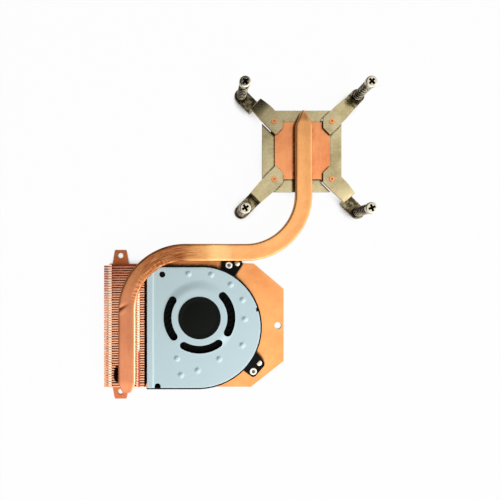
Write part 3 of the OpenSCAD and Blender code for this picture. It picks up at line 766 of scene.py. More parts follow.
@dataclass(frozen=True)
class FinCopper:
    """Thin copper sheet of the fins, each a little different, with a red inspection mark."""

    name: str = "fin_copper"
    light: Colour = (255, 190, 150)
    dark: Colour = (222, 136, 102)
    # Colour that the fins take towards the upper left
    upper_left_tone: Colour = (172, 80, 56)
    mark: Colour = (206, 66, 40)
    # Colour of the painted highlight at the tips of the locks
    tip: Colour = (255, 232, 205)
    mark_x: float = -102.3
    mark_from: float = -123.5
    top_z: Pair = (3.6, 4.1)
    # Where the painted shade at the outlet starts and ends, back from the stack's end
    outlet_dark: Pair = (0.55, 0.35)
    rough: float = 0.36

    def build(self) -> bpy.types.Material:
        """Builds the material.

        Returns:
            Noise squeezed along the fins tints each one. They are darker low down, a painted shade
            between the fins, and duller at the upper left; a painted highlight lies at the tips of their
            locks, painted shade is black in the dent and at the outlet, and a wavy red line runs over a
            part of their tops.
        """
        material, graph = new_material(self.name)
        place = graph.place()
        x, y, z = graph.split(place)
        each = graph.effect(EFFECTS.brushed, Place=place, Squeeze=(0.02, 1.0, 0.02), Scale=0.9)
        cloud = graph.effect(EFFECTS.tarnish, Place=place, Scale=0.05, Cover=0.5, Soft=0.4)
        upper = graph.remap(y - x * 0.6, -30.0, 2.0, 0.0, 0.8)
        share = graph.remap(each, 0.35, 0.65) * 0.35 + cloud * 0.2
        # Painted shade: darker low down between the fins
        share = graph.total(share, graph.remap(z, -4.0, 3.0, 0.4, 0.0))
        colour = graph.mix(share, self.light, self.dark)
        # Darker towards the upper left
        colour = graph.mix(upper, colour, self.upper_left_tone)
        # Painted highlight at the raised tips of the locks
        colour = graph.mix(graph.attribute("tip"), colour, self.tip)
        # Painted shade: black in the opening of the dent and in the gap at the outlet
        squares = [
            ((value - middle) / reach) ** 2.0
            for value, middle, reach in zip((x, y), FIN_DENT[:2], FIN_DENT[2:])
        ]
        ragged = graph.swing(graph.noise(place, 0.5), 0.8)
        dented = graph.remap(squares[0] + squares[1] + ragged, 0.6, 1.1, 1.0, 0.0)
        outlet = float(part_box("fin_stack")[1][0]) / MM
        ends = graph.remap(x, *(outlet - back for back in self.outlet_dark))
        colour = graph.mix(graph.larger(dented, ends), colour, PAINTED_SHADE_BLACK)
        wavy = x + graph.swing(graph.noise(place, 0.8), 0.9)
        off = abs(wavy - self.mark_x)
        stretch = graph.remap(y, self.mark_from - 3, self.mark_from, 1.0, 0.0)
        marked = graph.remap(off, 0.35, 0.75, 0.9, 0.0) * stretch * graph.remap(z, *self.top_z)
        colour = graph.mix(marked, colour, self.mark)
        roughness = share * 0.14 + self.rough
        graph.surface(colour, roughness, each, 0.01, 1.0 - marked * 0.9)
        return material


class Finish(Enum):
    """The finishes of the part, one for each slot or use."""

    PIPE = PipeCopper()
    FINS = FinCopper()
    PLATE = Metal(
        "base_plate_copper", (241, 166, 102), (221, 142, 85), cover=0.42, patch=0.045, squeeze=(0.06, 1.0, 1.0),
        streak_scale=2.2, streak_tint=0.18, stain=(214, 112, 68), blower_shade=0.95, crevice=0.85,
    )
    BLOCK = Metal(
        "contact_block_copper", (255, 172, 114), (240, 146, 94), cover=0.4, patch=0.09, squeeze=(1.0, 0.04, 1.0),
        streak_scale=2.8, streak_tint=0.4, wear=0.8, crevice=0.9,
    )
    NICKEL = Metal(
        "plated_spring_steel", (204, 189, 147), (162, 146, 105), rough=0.23, cover=0.4, patch=0.07,
        squeeze=(0.25, 1.0, 1.0), streak_scale=1.6, streak_depth=0.006, streak_tint=0.2, wear=0.7,
        foot_shade_from=42.4, crevice=0.95,
    )
    SCREW = Metal(
        "turned_screw_steel", (224, 217, 194), (168, 160, 138), rough=0.17, cover=0.3, patch=0.25,
        squeeze=(1.0, 1.0, 0.2), streak_scale=2.0, streak_depth=0.004, streak_tint=0.2, dirt="dirt", crevice=0.7,
    )
    SPRING = Metal(
        "spring_wire", (214, 203, 180), (70, 64, 54), rough=0.16, cover=0.45, patch=0.3,
        squeeze=(1.0, 1.0, 0.3), streak_scale=2.0, streak_depth=0.004, dirt="dirt", crevice=0.9,
    )
    CLIP = Metal("clip_steel", (190, 184, 168), (120, 114, 100), rough=0.3, cover=0.4, patch=0.3)
    EYELET = Metal("eyelet_nickel", (236, 232, 222), (150, 146, 134), rough=0.22, cover=0.3, patch=0.3)
    SHAFT = Metal("polished_shaft", (208, 206, 200), (160, 158, 150), rough=0.15, cover=0.2, patch=0.4)
    YOKE = Metal("rotor_yoke_steel", (150, 150, 148), (110, 108, 104), rough=0.35, patch=0.2)
    MAGNET = Coat("ferrite_magnet", (52, 51, 50), (38, 37, 36), (92, 90, 88), rough=0.62, grain=9.0)
    BRONZE = Metal("oiled_bronze", (214, 168, 92), (156, 112, 54), rough=0.38, patch=0.3)
    LAMINATION = Metal(
        "stator_laminations", (168, 166, 160), (112, 110, 104), rough=0.4, patch=0.3,
        squeeze=(0.05, 0.05, 6.0), streak_scale=1.4, streak_tint=0.6,
    )
    WINDING = Metal(
        "enamelled_winding", (206, 112, 60), (142, 66, 30), rough=0.28, patch=0.3,
        squeeze=(0.1, 0.1, 5.0), streak_scale=1.6, streak_depth=0.06, streak_tint=0.7,
    )
    BOARD = Coat("motor_board_lacquer", (40, 96, 58), (28, 74, 44), (120, 150, 110), rough=0.35, grain=3.0)
    COVER = Coat(
        "painted_cover", (199, 221, 226), (193, 216, 220), (232, 243, 245), rough=0.4, metallic=0.25,
        grain=9.0, grain_depth=0.004, cloud=0.03, dust=0.06, wear=0.6,
    )
    DISC = Coat(
        "motor_disc_plastic", (9, 12, 7), (5, 7, 4), (16, 19, 14), grain=7.0, grain_depth=0.01, dust=0.05, gloss=0.1
    )
    WALL = Coat("wall_plastic", (8, 10, 7), (4, 6, 3), (24, 27, 22), grain=5.0, grain_depth=0.012, gloss=0.09)
    IMPELLER = Coat("moulded_impeller", (7, 9, 7), (4, 6, 4), (10, 12, 10), rough=0.6, wear=0.0, dust=0.05, gloss=0.08)

    def material(self) -> bpy.types.Material:
        """The finish's material, built at its first use."""
        if self not in BUILT:
            BUILT[self] = self.value.build()
        return BUILT[self]


BUILT: dict[Finish, bpy.types.Material] = {}


# Sub-assemblies


@dataclass
class HeatPipe:
    """Flattened heat pipe from the block, round two bends, to the fins."""

    width: float = 10.6
    thick: float = 3.4
    bend: float = 36.0
    tip: float = 24.2
    cross_run: float = 63.8
    fins_x: float = -109.3
    end_y: float = -150.2
    last_taper: float = 6.5
    last_tip_width: float = 4.4
    tip_width: float = 1.8
    taper: float = 9.4
    low: float = 3.0
    high: float = 4.4
    climb_from: float = 46.0
    climb_to: float = 61.0
    stations: int = 520
    around: tuple[int, int] = (12, 18)
    corner: float = 0.62
    ripples_from: Pair = (152.0, 168.0)
    ripples_to: Pair = (200.0, 186.0)
    crease_at: float = 198.4

    def route(self) -> tuple[Array, Array, Array]:
        """The pipe's middle line in plan.

        Returns:
            The length run at each station, its place, and its heading in radians. The line is
            straight down, a quarter turn, straight to the left, a quarter turn and straight
            down. The place is the running sum of the heading's cosine and sine.
        """
        legs = np.array([
            self.tip + self.cross_run - self.bend,
            self.bend * math.pi / 2,
            -self.fins_x - 2 * self.bend,
            self.bend * math.pi / 2,
            -self.cross_run - self.bend - self.end_y,
        ])
        ends = np.concatenate([[0], np.cumsum(legs)])
        run = np.linspace(0, ends[-1], self.stations)
        first = np.clip((run - ends[1]) / legs[1], 0, 1)
        second = np.clip((run - ends[3]) / legs[3], 0, 1)
        heading = -math.pi / 2 - (first - second) * math.pi / 2
        middle = (heading[1:] + heading[:-1]) / 2
        step = np.diff(run)
        turn = np.diff(heading)
        chord = step * np.sinc(turn / FULL_TURN)
        x = np.concatenate([[0], np.cumsum(chord * np.cos(middle))])
        y = self.tip + np.concatenate([[0], np.cumsum(chord * np.sin(middle))])
        return run, np.stack([x, y], -1), heading

    def taper_at(self, run: Array) -> Array:
        """Share of the full width at each station.

        Args:
            run: Length run at each station.

        Returns:
            The distance from the nearer end over that end's taper, to a power under 1.
        """
        first = np.clip(run / self.taper, 0, 1) ** 0.85
        last = np.clip((run[-1] - run) / self.last_taper, 0, 1) ** 0.6
        return np.where(run < run[-1] / 2, first, last)

    def build(self) -> bpy.types.Object:
        """Sweeps the section along the route.

        Returns:
            The piece. A section is a flat oval: half rounds of half the thickness, joined by
            flats. Above the middle a power under 1 squares the rounds up. Its top is a little
            hollow, its inner side is rippled in the second bend, and a crease crosses it where
            that bend ends.
        """
        run, place, heading = self.route()
        share = self.taper_at(run)[:, None]
        ends = np.minimum(run, run[-1] - run)[:, None]
        flats, rounds = self.around
        swing = np.linspace(math.pi / 2, -math.pi / 2, rounds + 1)
        slide = np.linspace(1, -1, flats + 1)[1:-1]
        tip = np.where(run < run[-1] / 2, self.tip_width, self.last_tip_width)[:, None]
        half_w = (tip + (self.width - tip) * share) / 2
        half_t = self.thick / 2 * (0.78 + 0.22 * ease(ends, 0.0, self.taper * 0.8))
        radius = np.minimum(half_t, half_w)
        flat = half_w - radius
        square = np.where(swing > 0, self.corner, 1.0)
        right_u = flat + radius * np.abs(np.cos(swing)) ** square
        right_v = half_t * np.sign(np.sin(swing)) * np.abs(np.sin(swing)) ** square + 0 * radius
        across = flat * slide
        face = half_t + 0 * slide
        u = np.concatenate([right_u, across, -right_u[:, ::-1], -across], 1)
        v = np.concatenate([right_v, -face, right_v[:, ::-1], face], 1)
        cross = u / half_w
        lift = ease(v / half_t, -0.2, 0.9)
        arc = run[:, None]
        hollow = -0.07 * lift * hump(cross, 0, 0.55) * share
        bend_mask = ease(arc, *self.ripples_from) * ease(arc, *self.ripples_to)
        inner = ease(cross, -0.25, -0.75)
        waves = 0.5 + 0.5 * np.cos(FULL_TURN * arc / 2.6 + 2.2 * np.sin(arc / 3.1))
        ripple = -0.42 * bend_mask * inner * lift * waves
        slant = arc - self.crease_at - 3.0 * cross
        furrow = -0.34 * hump(slant, 0, 1.1) * ease(cross, -0.35, 0.8)
        ridge = 0.1 * hump(slant, 2.6, 1.6) * ease(cross, -0.2, 0.7)
        v = v + hollow + ripple + lift * (furrow + ridge)
        pinch = 0.012 * hump(slant, 0, 1.4) * ease(cross, 0.3, 1.0)
        u = u * (1 - pinch - 0.045 * bend_mask * ease(cross, -0.6, -0.95) * waves)
        base = self.low + (self.high - self.low) * ease(-place[:, :1], self.climb_from, self.climb_to)
        left_x, left_y = -np.sin(heading)[:, None], np.cos(heading)[:, None]
        points = np.stack([
            place[:, :1] - u * left_x,
            place[:, 1:] - u * left_y,
            base + self.thick / 2 + v - (self.thick / 2 - half_t),
        ], -1)
        return tube("pipe_skin", points, capped=True, crease=50, layers={"run": arc + 0 * cross, "side": cross})

    def dress(self) -> None:
        """Replaces the CAD pipe with the swept one."""
        hand_over(self.build(), "heatsink", "copper", Finish.PIPE, "heat_pipe")


@dataclass
class ScrewSet:
    """The four captive screws with their springs and clips, at the corners of a square."""

    pitch: float = 75.0
    thread_r: float = 1.5
    head_r: float = 3.5
    tip_z: float = -8.2
    head_z: float = 12.0
    top_z: float = 14.2
    groove: Pair = (-4.65, -4.05)
    groove_r: float = 1.2
    thread_pitch: float = 0.5
    recess_l: float = 4.2
    recess_w: float = 1.25
    recess_h: float = 1.15
    spring_od: float = 6.2
    wire: float = 0.7
    turns: float = 8.5
    spring_z: Pair = (-2.8, 12.0)
    travel: float = 5.0
    around: int = 96

    def centre(self, i: int) -> Pair:
        """Place of screw i in plan."""
        return CORNERS[i][0] * self.pitch / 2, CORNERS[i][1] * self.pitch / 2

    def profile(self) -> Array:
        """Rows of radius, height and kind: 0 plain, 1 threaded, 2 the top of the head."""
        low, high = self.groove
        thread = np.arange(self.tip_z + 0.5, low - 0.12, self.thread_pitch / 8)
        top = np.linspace(self.head_r - 0.85, 0, 34)
        edge = np.linspace(0, math.pi / 2, 7)
        rows = [
            [[0, self.tip_z, 0], [0.9, self.tip_z, 0], [1.1, self.tip_z + 0.1, 0]],
            [[self.thread_r, z, 1] for z in thread],
            [[self.thread_r, low, 0], [self.groove_r, low, 0]],
            [[self.groove_r, high, 0], [self.thread_r, high, 0]],
            [[self.thread_r, self.head_z, 0], [self.head_r - 0.15, self.head_z, 0]],
            [[self.head_r, self.head_z + 0.15, 0]],
            [[self.head_r - 0.7 + 0.7 * math.cos(a), self.top_z - 0.75 + 0.7 * math.sin(a), 0] for a in edge],
            [[r, self.top_z - 0.05 * (r / self.head_r) ** 2, 2] for r in top],
        ]
        return np.vstack(rows)

    def build_screw(self, i: int) -> bpy.types.Object:
        """Turns the profile about the screw's axis.

        Args:
            i: The screw's number.

        Returns:
            The piece. The thread is a saw wave in height minus turn, and the cross recess is a
            height that falls inside two crossed slots and slopes to the middle.
        """
        rows = self.profile()
        turn = np.linspace(0, FULL_TURN, self.around, endpoint=False)[None, :]
        r, z, kind = rows[:, :1], rows[:, 1:2], rows[:, 2:]
        wave = np.abs(2 * np.mod(z / self.thread_pitch - turn / FULL_TURN, 1) - 1)
        fade = ease(z, self.tip_z + 0.5, self.tip_z + 1.0) * ease(z, self.groove[0] - 0.1, self.groove[0] - 0.5)
        valley = 0.27 * (1 - ease(wave, 0.1, 0.75)) * (0.25 + 0.75 * fade)
        point = 0.25 * (1 - ease(z, self.tip_z + 0.4, self.tip_z + 0.9))
        radius = r - np.where(kind == 1, valley + point, 0.0)
        way = turn + math.radians(45 + 8 * i)
        p, q = np.abs(r * np.cos(way)), np.abs(r * np.sin(way))
        half, end = self.recess_w / 2, self.recess_l / 2
        slots = [ease(b, half + 0.06, half - 0.06) * ease(a, end + 0.1, end - 0.1) for a, b in ((p, q), (q, p))]
        arms = np.maximum(*slots)
        deep = self.recess_h * (1 - 0.45 * np.clip(r / self.recess_l * 2, 0, 1))
        height = z - np.where(kind == 2, arms * deep, 0.0)
        points = np.concatenate([polar(radius, turn) + self.centre(i), (height + 0 * turn)[..., None]], -1)
        # Painted shade: black in the cross recess, and on the shank inside the spring
        shank = np.where((z > self.groove[1]) & (z < self.head_z) & (kind == 0), 1.0, 0.0)
        dirt = np.where(kind == 2, ease(arms, 0.1, 0.6), shank) + 0 * turn
        return tube(f"captive_screw_{i + 1}", points, crease=40, layers={"dirt": dirt})

    def build_spring(self, i: int) -> bpy.types.Object:
        """Sweeps the wire's round section along a helix.

        Args:
            i: The spring's number.

        Returns:
            The piece. The height rises slowly over the dead turn at each end and evenly
            between them.
        """
        sides = 14
        t = np.linspace(0, 1, int(self.turns * 40))
        dead = 0.8 / self.turns
        low, high = self.spring_z[0] + self.wire / 2, self.spring_z[1] - self.wire / 2
        rise = 0.6 * self.wire
        even = low + rise + (high - low - 2 * rise) * (t - dead) / (1 - 2 * dead)
        z = np.where(t < dead, low + rise * t / dead, np.where(t > 1 - dead, high - rise * (1 - t) / dead, even))
        a = t * self.turns * FULL_TURN + i * math.pi / 2
        b = np.linspace(0, FULL_TURN, sides, endpoint=False)[None, :]
        reach = (self.spring_od - self.wire) / 2 + self.wire / 2 * np.cos(b)
        height = z[:, None] + self.wire / 2 * np.sin(b)
        points = np.concatenate([polar(reach, a[:, None]) + self.centre(i), height[..., None]], -1)
        # Painted shade on the inner half of the wire, which faces the screw
        inward = ease(np.cos(b), 0.3, -0.3) + 0 * height
        return tube(f"coil_spring_{i + 1}", points, capped=True, layers={"dirt": inward})

    def dress(self) -> None:
        """Replaces the CAD screws and springs, and finishes the clips."""
        for i in range(4):
            number = i + 1
            cx, cy = self.centre(i)
            hand_over(self.build_screw(i), f"screw_{number}", "screw_steel", Finish.SCREW, f"screw_{number}")
            spring = self.build_spring(i)
            hand_over(spring, "heatsink", "spring_steel", Finish.SPRING, f"spring_{number}")
            foot = (cx * MM, cy * MM, self.spring_z[0] * MM)
            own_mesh(spring)
            clip = softened(f"clip_{number}", f"retaining_clip_{number}", 0.08, 1)
            hand_over(clip, f"clip_{number}", "screw_steel", Finish.CLIP, f"clip_{number}")


@dataclass
class BlockAndArms:
    """Copper contact block, the steel frame round it and the four sprung arms."""

    edge: float = 0.14
    steel: float = 1.2
    frame: Pair = (50.0, 51.4)
    frame_z: float = 0.8
    window: float = 27.8
    slit: float = 0.12
    slit_from: float = 22.6
    arm_w: float = 10.4
    end_w: float = 8.9
    start: float = 18.9
    chamfer: float = 4.2
    fall_from: float = 33.0
    step_at: float = 42.0
    fall: float = 0.8
    top_z: float = 4.2
    foot_z: float = -2.8
    bend: float = 1.1
    rivet_at: float = 25.456
    rivet_r: float = 1.55
    screw_at: float = 53.033
    screw_r: float = 1.9

    def turned(self, number: int, points: Array) -> Array:
        """Points whose x runs out along a diagonal, turned by 45 degrees and mirrored to an arm's corner."""
        right, up = CORNERS[number - 1]
        x, y = points[:, 0], points[:, 1]
        return np.c_[right * (x - y) / math.sqrt(2), up * (x + y) / math.sqrt(2), points[:, 2:]]

    def arm_side(self) -> Array:
        """Side view of an arm, as rows of distance along it and height.

        Returns:
            The upper line falls as the square of the distance past the start of the fall, turns
            down round a quarter circle, and runs out flat along the foot. The lower line lies
            one sheet's thickness under it.
        """
        run = np.linspace(self.fall_from, self.step_at - self.bend, 12)
        top = self.top_z - self.fall * ((run - self.fall_from) / (self.step_at - self.fall_from)) ** 2
        turn = np.linspace(math.pi / 2, 0.0, 7)[1:]
        shoulder = polar(self.bend, turn) + [self.step_at - self.bend, top[-1] - self.bend]
        far = self.screw_at + self.end_w
        heel = self.bend * 0.6
        back = np.linspace(math.pi, 1.5 * math.pi, 6)
        corner = polar(heel, back) + [self.step_at + heel, self.foot_z + heel]
        upper = np.vstack([[[self.start, self.top_z]], np.c_[run, top], shoulder, corner, [[far, self.foot_z]]])
        under = self.step_at - self.steel
        floor = self.foot_z - self.steel
        lower = np.array([[far, floor], [under + 0.8, floor], [under, floor + 0.8]])
        inner = np.c_[run[:-2], top[:-2] - self.steel][::-1]
        return np.vstack([upper, lower, [[under, inner[0, 1] - 0.3]], inner, [[self.start, self.top_z - self.steel]]])

    def arm_plan(self) -> Array:
        """Plan of an arm: chamfered at its start, a little narrower at the foot, and round at its end."""
        wide, slim, cut = self.arm_w / 2, self.end_w / 2 - 0.01, self.chamfer
        end = np.linspace(-math.pi / 2, math.pi / 2, 25)
        tip = polar(slim, end) + [self.screw_at, 0]
        return np.vstack([
            [[self.start, -wide], [self.fall_from, -wide], [self.step_at, -slim]], tip,
            [[self.step_at, slim], [self.fall_from, wide], [self.start + cut, wide], [self.start, wide - cut]],
        ])

    def build_arm(self, number: int) -> bpy.types.Object:
        """Carries the side view across the arm, then cuts its plan and its two holes."""
        side = self.arm_side()
        sheets = [np.c_[side[:, 0], np.full(len(side), y), side[:, 1]] for y in (-self.arm_w, self.arm_w)]
        rings = np.array([self.turned(number, sheet) for sheet in sheets])
        piece = tube(f"spring_arm_{number}", rings, capped=True)
        low, high = self.foot_z - 3, self.top_z + 3
        cut_plan(piece, self.turned(number, self.arm_plan()), low, high, "INTERSECT")
        around = np.linspace(0, FULL_TURN, 40, endpoint=False)
        for at, r in ((self.rivet_at, self.rivet_r), (self.screw_at, self.screw_r)):
            cut_plan(piece, self.turned(number, polar(r, around) + [at, 0]), low, high)
        round_edges(piece, self.edge)
        return piece

    def build_frame(self) -> bpy.types.Object:
        """Cuts the window and the four slits for the arms from a square sheet."""
        w, d = self.frame[0] / 2, self.frame[1] / 2
        low, high = self.frame_z, self.frame_z + self.steel
        piece = prism("spring_frame_skin", np.array([[-w, -d], [w, -d], [w, d], [-w, d]]), low, high)
        h = self.window / 2
        cut_plan(piece, np.array([[-h, -h], [h, -h], [h, h], [-h, h]]), low - 1, high + 1)
        half = self.arm_w / 2 + self.slit
        notch = np.array([[self.slit_from, -half], [w * 2, -half], [w * 2, half], [self.slit_from, half]])
        for number in range(1, 5):
            cut_plan(piece, self.turned(number, notch), low - 1, high + 1)
        round_edges(piece, self.edge)
        return piece

    def dress(self) -> None:
        """Replaces the block with a copy that has rounded edges, the frame with a cut flat sheet and the arms with
        bent sheets.
        """
        block = softened("contact_block", "contact_block_skin", self.edge)
        hand_over(block, "heatsink", "copper", Finish.BLOCK, "contact_block")
        hand_over(self.build_frame(), "heatsink", "nickel", Finish.NICKEL, "spring_frame")
        for number in range(1, 5):
            hand_over(self.build_arm(number), "heatsink", "nickel", Finish.NICKEL, f"arm_{number}")


@dataclass
class Blower:
    """Cover, motor disc, wall, fastenings, impeller and motor of the blower."""

    axis: Pair = BLOWER_AT
    outlet: float = 33.2
    scroll_r: float = 32.0
    growth: float = 12.5
    swell: float = 1.1
    wall_top: float = 2.6
    sheet: float = 0.5
    hub_rise: float = 0.8
    flank: Pair = (17.0, 24.0)
    lip_w: float = 4.4
    lip_rise: float = 0.3
    slot_r: float = 20.0
    slot_w: float = 5.1
    slots: tuple[Pair, ...] = ((-27.6, 43.1), (146.9, 216.1), (240.9, 306.6))
    bump_r: float = 2.0
    bump_h: float = 0.55
    bump_ring: float = 28.4
    bumps: tuple[Pair, ...] = (
        (104, 0), (74.6, -0.4), (46.7, 0.2), (22.5, 0.8), (-1.8, 0),
        (-32.6, 3.5), (-64.4, 0.3), (-92, 4.7), (-107.8, 9.3), (-118.9, 0.8),
    )
    hole: Triple = (-23.3, 27.1, 1.9)
    notch: Triple = (-26.2, -43.0, 1.9)
    edge_notch: float = 8.0
    web_r: Pair = (12.3, 28.2)
    web_z: Pair = (-0.3, 0.2)
    disc_r: float = 13.3
    disc_z: Pair = (3.9, 4.15)
    step_in: float = 0.45
    spacing: float = 0.5
    ears: tuple[Triple, ...] = ((56.0, 4.5, 2.6), (-43.0, 7.6, -2.5))
    pins: tuple[Triple, ...] = ((56.0, 8.4, -1.3), (-43.0, 6.8, 4.1))
    ear_z: float = -3.4
    plate_z: float = -8.2

    def scroll(self, degrees: Array, grow: float = 0.0) -> Array:
        """Radius of the scroll.

        Args:
            degrees: Angles about the axis, from 90 down to -90.
            grow: How far outside the outline the line lies.

        Returns:
            Start plus growth times t, less a swell times the sine of 360 t degrees, where t goes
            from 0 at 90 degrees to 1 at -90.
        """
        t = (90 - degrees) / 180
        return self.scroll_r + grow + self.growth * t - self.swell * np.sin(FULL_TURN * t)

    def outline(self, grow: float = 0.0) -> Array:
        """Points of the cover's outline round the scroll and down the straight outlet."""
        degrees = np.linspace(90, -90, 61)
        round_part = polar(self.scroll(degrees, grow), np.radians(degrees))
        end_r = self.scroll_r + self.growth + grow
        corners = np.array([[-self.outlet - grow, -end_r], [-self.outlet - grow, self.scroll_r + grow]])
        return np.vstack([corners, round_part]) + self.axis

    def cover_height(self, x: Array, y: Array) -> Array:
        """Height of the cover's top face over its flat level.

        Args:
            x: Distances from the axis to the right.
            y: Distances from the axis upwards.

        Returns:
            A smooth step down from the raised middle, a raised lip along the outlet, a round
            dome for each pressed bump, and a rim that is rolled down at the outline.
        """
        r = np.hypot(x, y)
        z = self.hub_rise * ease(r, self.flank[1], self.flank[0])
        z = z + self.lip_rise * ease(x, -self.outlet + self.lip_w + 0.1, -self.outlet + self.lip_w - 0.5)
        for degrees, out in self.bumps:
            middle = polar(self.bump_ring + out, math.radians(degrees))
            z = z + self.bump_h * (1 - ease(np.hypot(x - middle[0], y - middle[1]), 0.7, self.bump_r))
        angle = np.degrees(np.arctan2(y, x))
        straight = np.minimum(self.scroll_r - y, y + self.scroll_r + self.growth)
        gap = np.where(x > 0, self.scroll(np.clip(angle, -90, 90)) - r, straight)
        return z - 0.12 * (1 - ease(gap - self.step_in, 0.0, 0.5))

    def curved_slot(self, span: Pair) -> Array:
        """Outline of one slot: two arcs about the axis, joined by half rounds at their ends."""
        first, last = np.radians(span)
        half = self.slot_w / 2
        there = np.linspace(first, last, 33)
        cap = np.linspace(0, math.pi, 13)[1:-1]
        return self.axis + np.vstack([
            polar(self.slot_r + half, there),
            polar(self.slot_r, last) + polar(half, last + cap),
            polar(self.slot_r - half, there[::-1]),
            polar(self.slot_r, first) + polar(half, first + math.pi + cap),
        ])

    def build_cover(self) -> bpy.types.Object:
        """Makes the cover's sheet on a grid and cuts it to its outline.

        Returns:
            The piece: top and bottom faces a sheet's thickness apart, closed at the edges, cut
            exactly by the outline, the slots, the hole and the notches.
        """
        x = np.arange(-self.outlet - 1.5, self.scroll_r + self.growth, self.spacing)
        y = np.arange(-self.scroll_r - self.growth - 1.5, self.scroll_r + 2.0, self.spacing)
        gx, gy = np.meshgrid(x, y)
        rise = self.cover_height(gx, gy)
        levels = (self.wall_top + self.sheet + rise, self.wall_top + np.maximum(rise, 0))
        top, low = (np.stack([gx + self.axis[0], gy + self.axis[1], z], -1).reshape(-1, 3) for z in levels)
        rows, cols = gx.shape
        quads = grid_quads(rows, cols, False)
        number = np.arange(rows * cols).reshape(rows, cols)
        rim = np.concatenate([number[0, :-1], number[:-1, -1], number[-1, :0:-1], number[:0:-1, 0]])
        following = np.roll(rim, -1)
        total = rows * cols
        walls = np.stack([rim, rim + total, following + total, following], -1)
        piece = make_piece("cover_skin", np.vstack([top, low]), quads, quads[:, ::-1] + total, walls)
        below, above = self.wall_top - 1, self.wall_top + 3
        cut_plan(piece, self.outline(-self.step_in), below, above, "INTERSECT")
        turn = np.linspace(0, FULL_TURN, 40, endpoint=False)
        nx, ny, nr = self.notch
        arch = np.vstack([polar(nr, turn[:21]), [[-nr, -4], [nr, -4]]]) + [nx, ny] + self.axis
        a = math.radians(self.edge_notch)
        r = float(self.scroll(np.array(self.edge_notch)))
        corners = ((-1.5, -1.2), (1.5, -1.2), (1.5, 1.2), (-1.5, 1.2))
        box = [polar(r + out, a) + polar(side, a + math.pi / 2) + self.axis for out, side in corners]
        hole = polar(self.hole[2], turn) + self.hole[:2] + self.axis
        for outline in (*map(self.curved_slot, self.slots), hole, arch, np.array(box)):
            cut_plan(piece, outline, below, above)
        weld(piece.data)
        piece.data.shade_smooth()
        piece.data.set_sharp_from_angle(angle=math.radians(35))
        return piece

    def build_web(self) -> bpy.types.Object:
        """Thin black ring between the impeller's blades, a dark sheet that stands in for the shade inside the blower
        and makes the slots look black.

        Returns:
            The piece: a flat ring with a bead at its rim, turned about the axis.
        """
        low, high = self.web_z
        first, last = self.web_r
        bead = np.linspace(math.pi / 2, -math.pi / 2, 7)
        rim = [[last - 0.3 + 0.3 * math.cos(b), (low + high) / 2 + 0.4 * math.sin(b)] for b in bead]
        ring = np.array([[first, low], [first, high], [last - 0.9, high], *rim, [last - 0.9, low]])
        return revolve("impeller_shade_web", ring, self.axis, 96, closed=True)

    def on_ear(self, place: Triple) -> Pair:
        """Point of an ear: out from the scroll at its angle, then sideways."""
        degrees, out, side = place
        a = math.radians(degrees)
        r = float(self.scroll(np.array(degrees))) + out
        return tuple(polar(r, a) + polar(side, a + math.pi / 2) + self.axis)

    def dress(self) -> None:
        """Replaces the cover, disc, wall and fastenings, and finishes the motor's nodes."""
        hand_over(self.build_cover(), "heatsink", "cover_paint", Finish.COVER, "fan_cover")
        low, high = self.disc_z
        r = self.disc_r
        disc = np.array([
            [0, low], [r - 0.05, low], [r, low + 0.06], [r, high - 0.1], [r - 0.12, high],
            [r * 0.82, high], [r * 0.81, high - 0.02], [r * 0.78, high - 0.02], [r * 0.77, high], [0, high],
        ])
        disc_piece = revolve("motor_disc", disc, self.axis, 96)
        hand_over(disc_piece, "heatsink", "black_plastic", Finish.DISC, "hub_disc")
        # Black ring that stands in for the shade inside the blower
        hand_over(self.build_web(), "rotor", "black_plastic", Finish.IMPELLER)
        wall = softened("fan_wall", "blower_wall", 0.12)
        hand_over(wall, "heatsink", "black_plastic", Finish.WALL, "fan_wall")
        for number, (ear, pin) in enumerate(zip(self.ears, self.pins), 1):
            roll = np.linspace(-math.pi / 2, math.pi / 2, 9)
            rim = [[1.66 + 0.62 * math.cos(b), self.ear_z + 0.15 + 0.15 * math.sin(b)] for b in roll]
            inner = [[1.35, self.ear_z + 0.3], [1.08, self.ear_z + 0.22], [1.0, self.ear_z + 0.05]]
            barrel = np.array([[1.0, self.plate_z], [1.9, self.plate_z], [1.9, self.ear_z], *rim, *inner])
            piece = revolve(f"eyelet_rivet_{number}", barrel, self.on_ear(ear), 48, closed=True)
            hand_over(piece, "heatsink", "screw_steel", Finish.EYELET, f"eyelet_{number}")
            dome = [[1.85 * math.cos(b), self.ear_z + 0.7 * math.sin(b)] for b in np.linspace(0, math.pi / 2, 10)]
            foot = [[0, self.plate_z], [1.4, self.plate_z], [1.5, self.plate_z + 0.1]]
            post = np.array([*foot, [1.5, self.ear_z], *dome])
            piece = revolve(f"round_pin_{number}", post, self.on_ear(pin), 48)
            hand_over(piece, "heatsink", "screw_steel", Finish.SCREW, f"wall_screw_{number}")
        for node, finish in (
            ("impeller", Finish.IMPELLER), ("rotor_ring", Finish.YOKE), ("magnet_ring", Finish.MAGNET),
            ("shaft", Finish.SHAFT), ("bearing_sleeve", Finish.BRONZE), ("motor_board", Finish.BOARD),
            ("stator_core", Finish.LAMINATION), ("stator_coils", Finish.WINDING),
        ):
            dress_node(node, finish)


